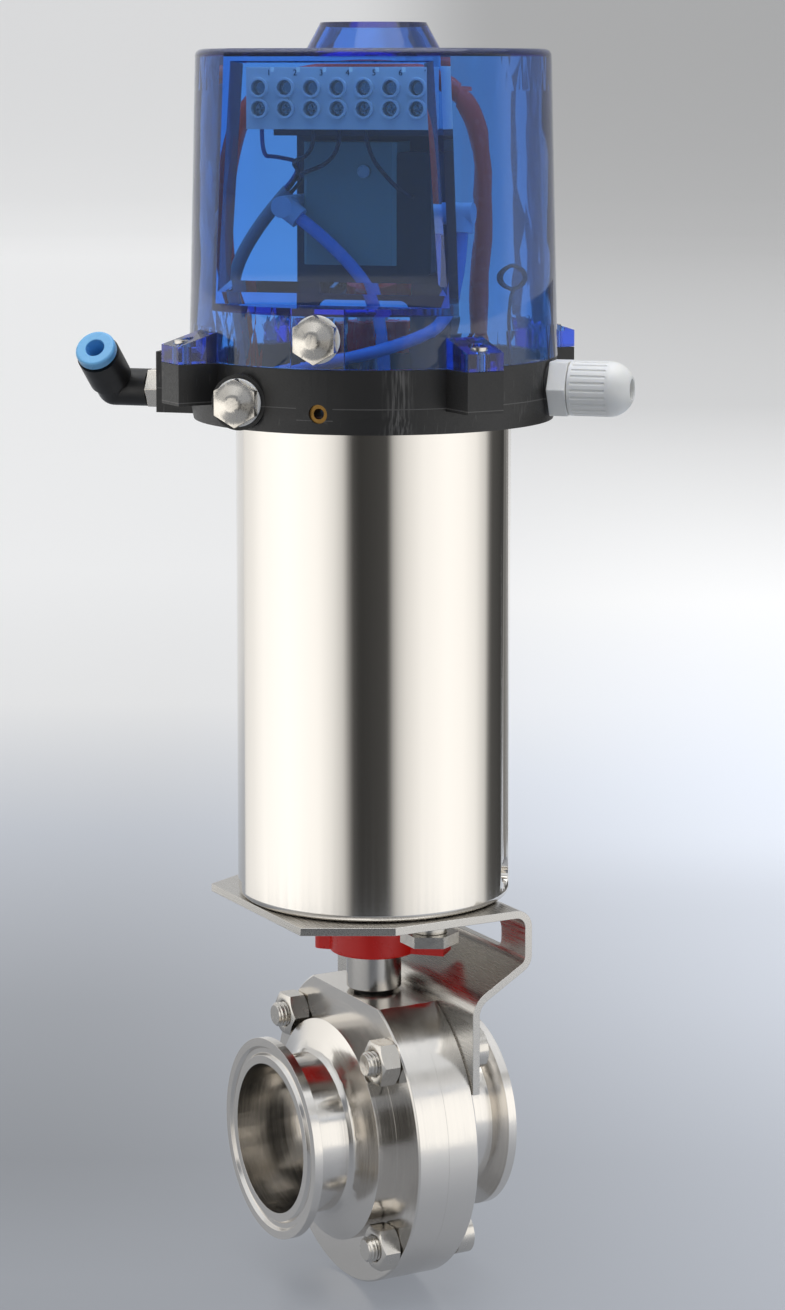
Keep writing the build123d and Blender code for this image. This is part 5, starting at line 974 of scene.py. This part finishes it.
class VALVE_OT_terminals(bpy.types.Operator):
    """Make the terminal strip with its screws, the rings round them and the pole numbers"""
    bl_idname = "valve.terminals"
    bl_label = "Terminal strip"

    def execute(self, context):
        dressed("terminal_strip", natural_nylon(), sizes().edge_break)
        rows, first, face, screw_foot, digits_up, digit_shift = (329.3, 335.7), -24.7, 38.5, 35.5, 340.2, 0.38
        repeated = {"Count": sizes().terminal_poles,
                    "Step": spot(0, sizes().terminal_pitch / MM, 0) - spot(0, 0, 0)}

        bm = bmesh.new()
        for up in rows:
            turned(bm, rounded([(0, 0), (2.0, 0), (2.0, 1.4), (0, 1.4)], 0.4), 24, outward(screw_foot, first, up))
        screw = piece("screw", bm, bright_fastener(), None)
        for long, high in ((2.8, 0.55), (0.55, 2.8)):
            bm = bmesh.new()
            for up in rows:
                block(bm, (-long / 2, -high / 2, 0.6), (long / 2, high / 2, 2),
                      outward(screw_foot, first, up) @ Matrix.Rotation(0.35, 4, "Z"))
            combined(screw, bm)
        screws = grown("terminal_screw_heads", row_tree(), {"Shape": screw, **repeated}, bright_fastener(), "valve")
        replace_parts(screws, "terminal_screws")

        bm = bmesh.new()
        for up in rows:
            turned(bm, rounded([(2.3, 0), (3.1, 0), (3.1, 1.3), (2.3, 1.3)], 0.2, closed=True), 32,
                   outward(face, first, up), closed=True)
        collar = piece("collar", bm, natural_nylon(), None)
        grown("terminal_collars", row_tree(), {"Shape": collar, **repeated}, natural_nylon(), "valve")

        ink = moulded("Grey pad print", "#33373E", 0.4, 0.5)
        bm = bmesh.new()
        for pole in range(sizes().terminal_poles):
            digit = bpy.data.curves.new("digit", "FONT")
            digit.body, digit.size, digit.extrude = str(pole + 1), 2.6 * MM, 0.05 * MM
            digit.align_x, digit.align_y = "CENTER", "CENTER"
            text = shown("digit", digit)
            mesh = bpy.data.meshes.new_from_object(text.evaluated_get(context.evaluated_depsgraph_get()))
            mesh.transform(outward(face + 0.05, first + (pole + digit_shift) * sizes().terminal_pitch / MM,
                                   digits_up))
            bm.from_mesh(mesh)
            bpy.data.objects.remove(text)
        piece("terminal_numbers", bm, ink, "valve", faces_out=False)
        return {"FINISHED"}


OPERATORS = (VALVE_OT_stage, VALVE_OT_hoses, VALVE_OT_body, VALVE_OT_fasteners, VALVE_OT_bracket,
             VALVE_OT_actuator, VALVE_OT_base, VALVE_OT_cover, VALVE_OT_inside, VALVE_OT_terminals)


class VALVE_PT_panel(bpy.types.Panel):
    """Sidebar panel that lists the sizes, the colours and the pieces"""
    bl_idname = "VALVE_PT_panel"
    bl_label = "Butterfly valve"
    bl_space_type = "VIEW_3D"
    bl_region_type = "UI"
    bl_category = "Valve"

    def draw(self, context):
        for group in (context.scene.valve_sizes, context.scene.valve_colours, context.scene.valve_stage):
            box = self.layout.box()
            for key in group.bl_rna.properties.keys():
                if key not in ("rna_type", "name"):
                    box.prop(group, key)
        for operator in OPERATORS:
            self.layout.operator(operator.bl_idname)


CLASSES = (ValveSizes, ValveColours, ValveStage) + OPERATORS + (VALVE_PT_panel,)


def register():
    """Register the classes and their settings."""
    for kind in CLASSES:
        bpy.utils.register_class(kind)
    bpy.types.Scene.valve_sizes = PointerProperty(type=ValveSizes)
    bpy.types.Scene.valve_colours = PointerProperty(type=ValveColours)
    bpy.types.Scene.valve_stage = PointerProperty(type=ValveStage)


def unregister():
    """Take the classes and their settings away again."""
    del bpy.types.Scene.valve_sizes, bpy.types.Scene.valve_colours, bpy.types.Scene.valve_stage
    for kind in reversed(CLASSES):
        bpy.utils.unregister_class(kind)


def main():
    """Build everything in order."""
    register()
    for operator in OPERATORS:
        group, name = operator.bl_idname.split(".")
        getattr(getattr(bpy.ops, group), name)()


if __name__ == "__main__":
    main()
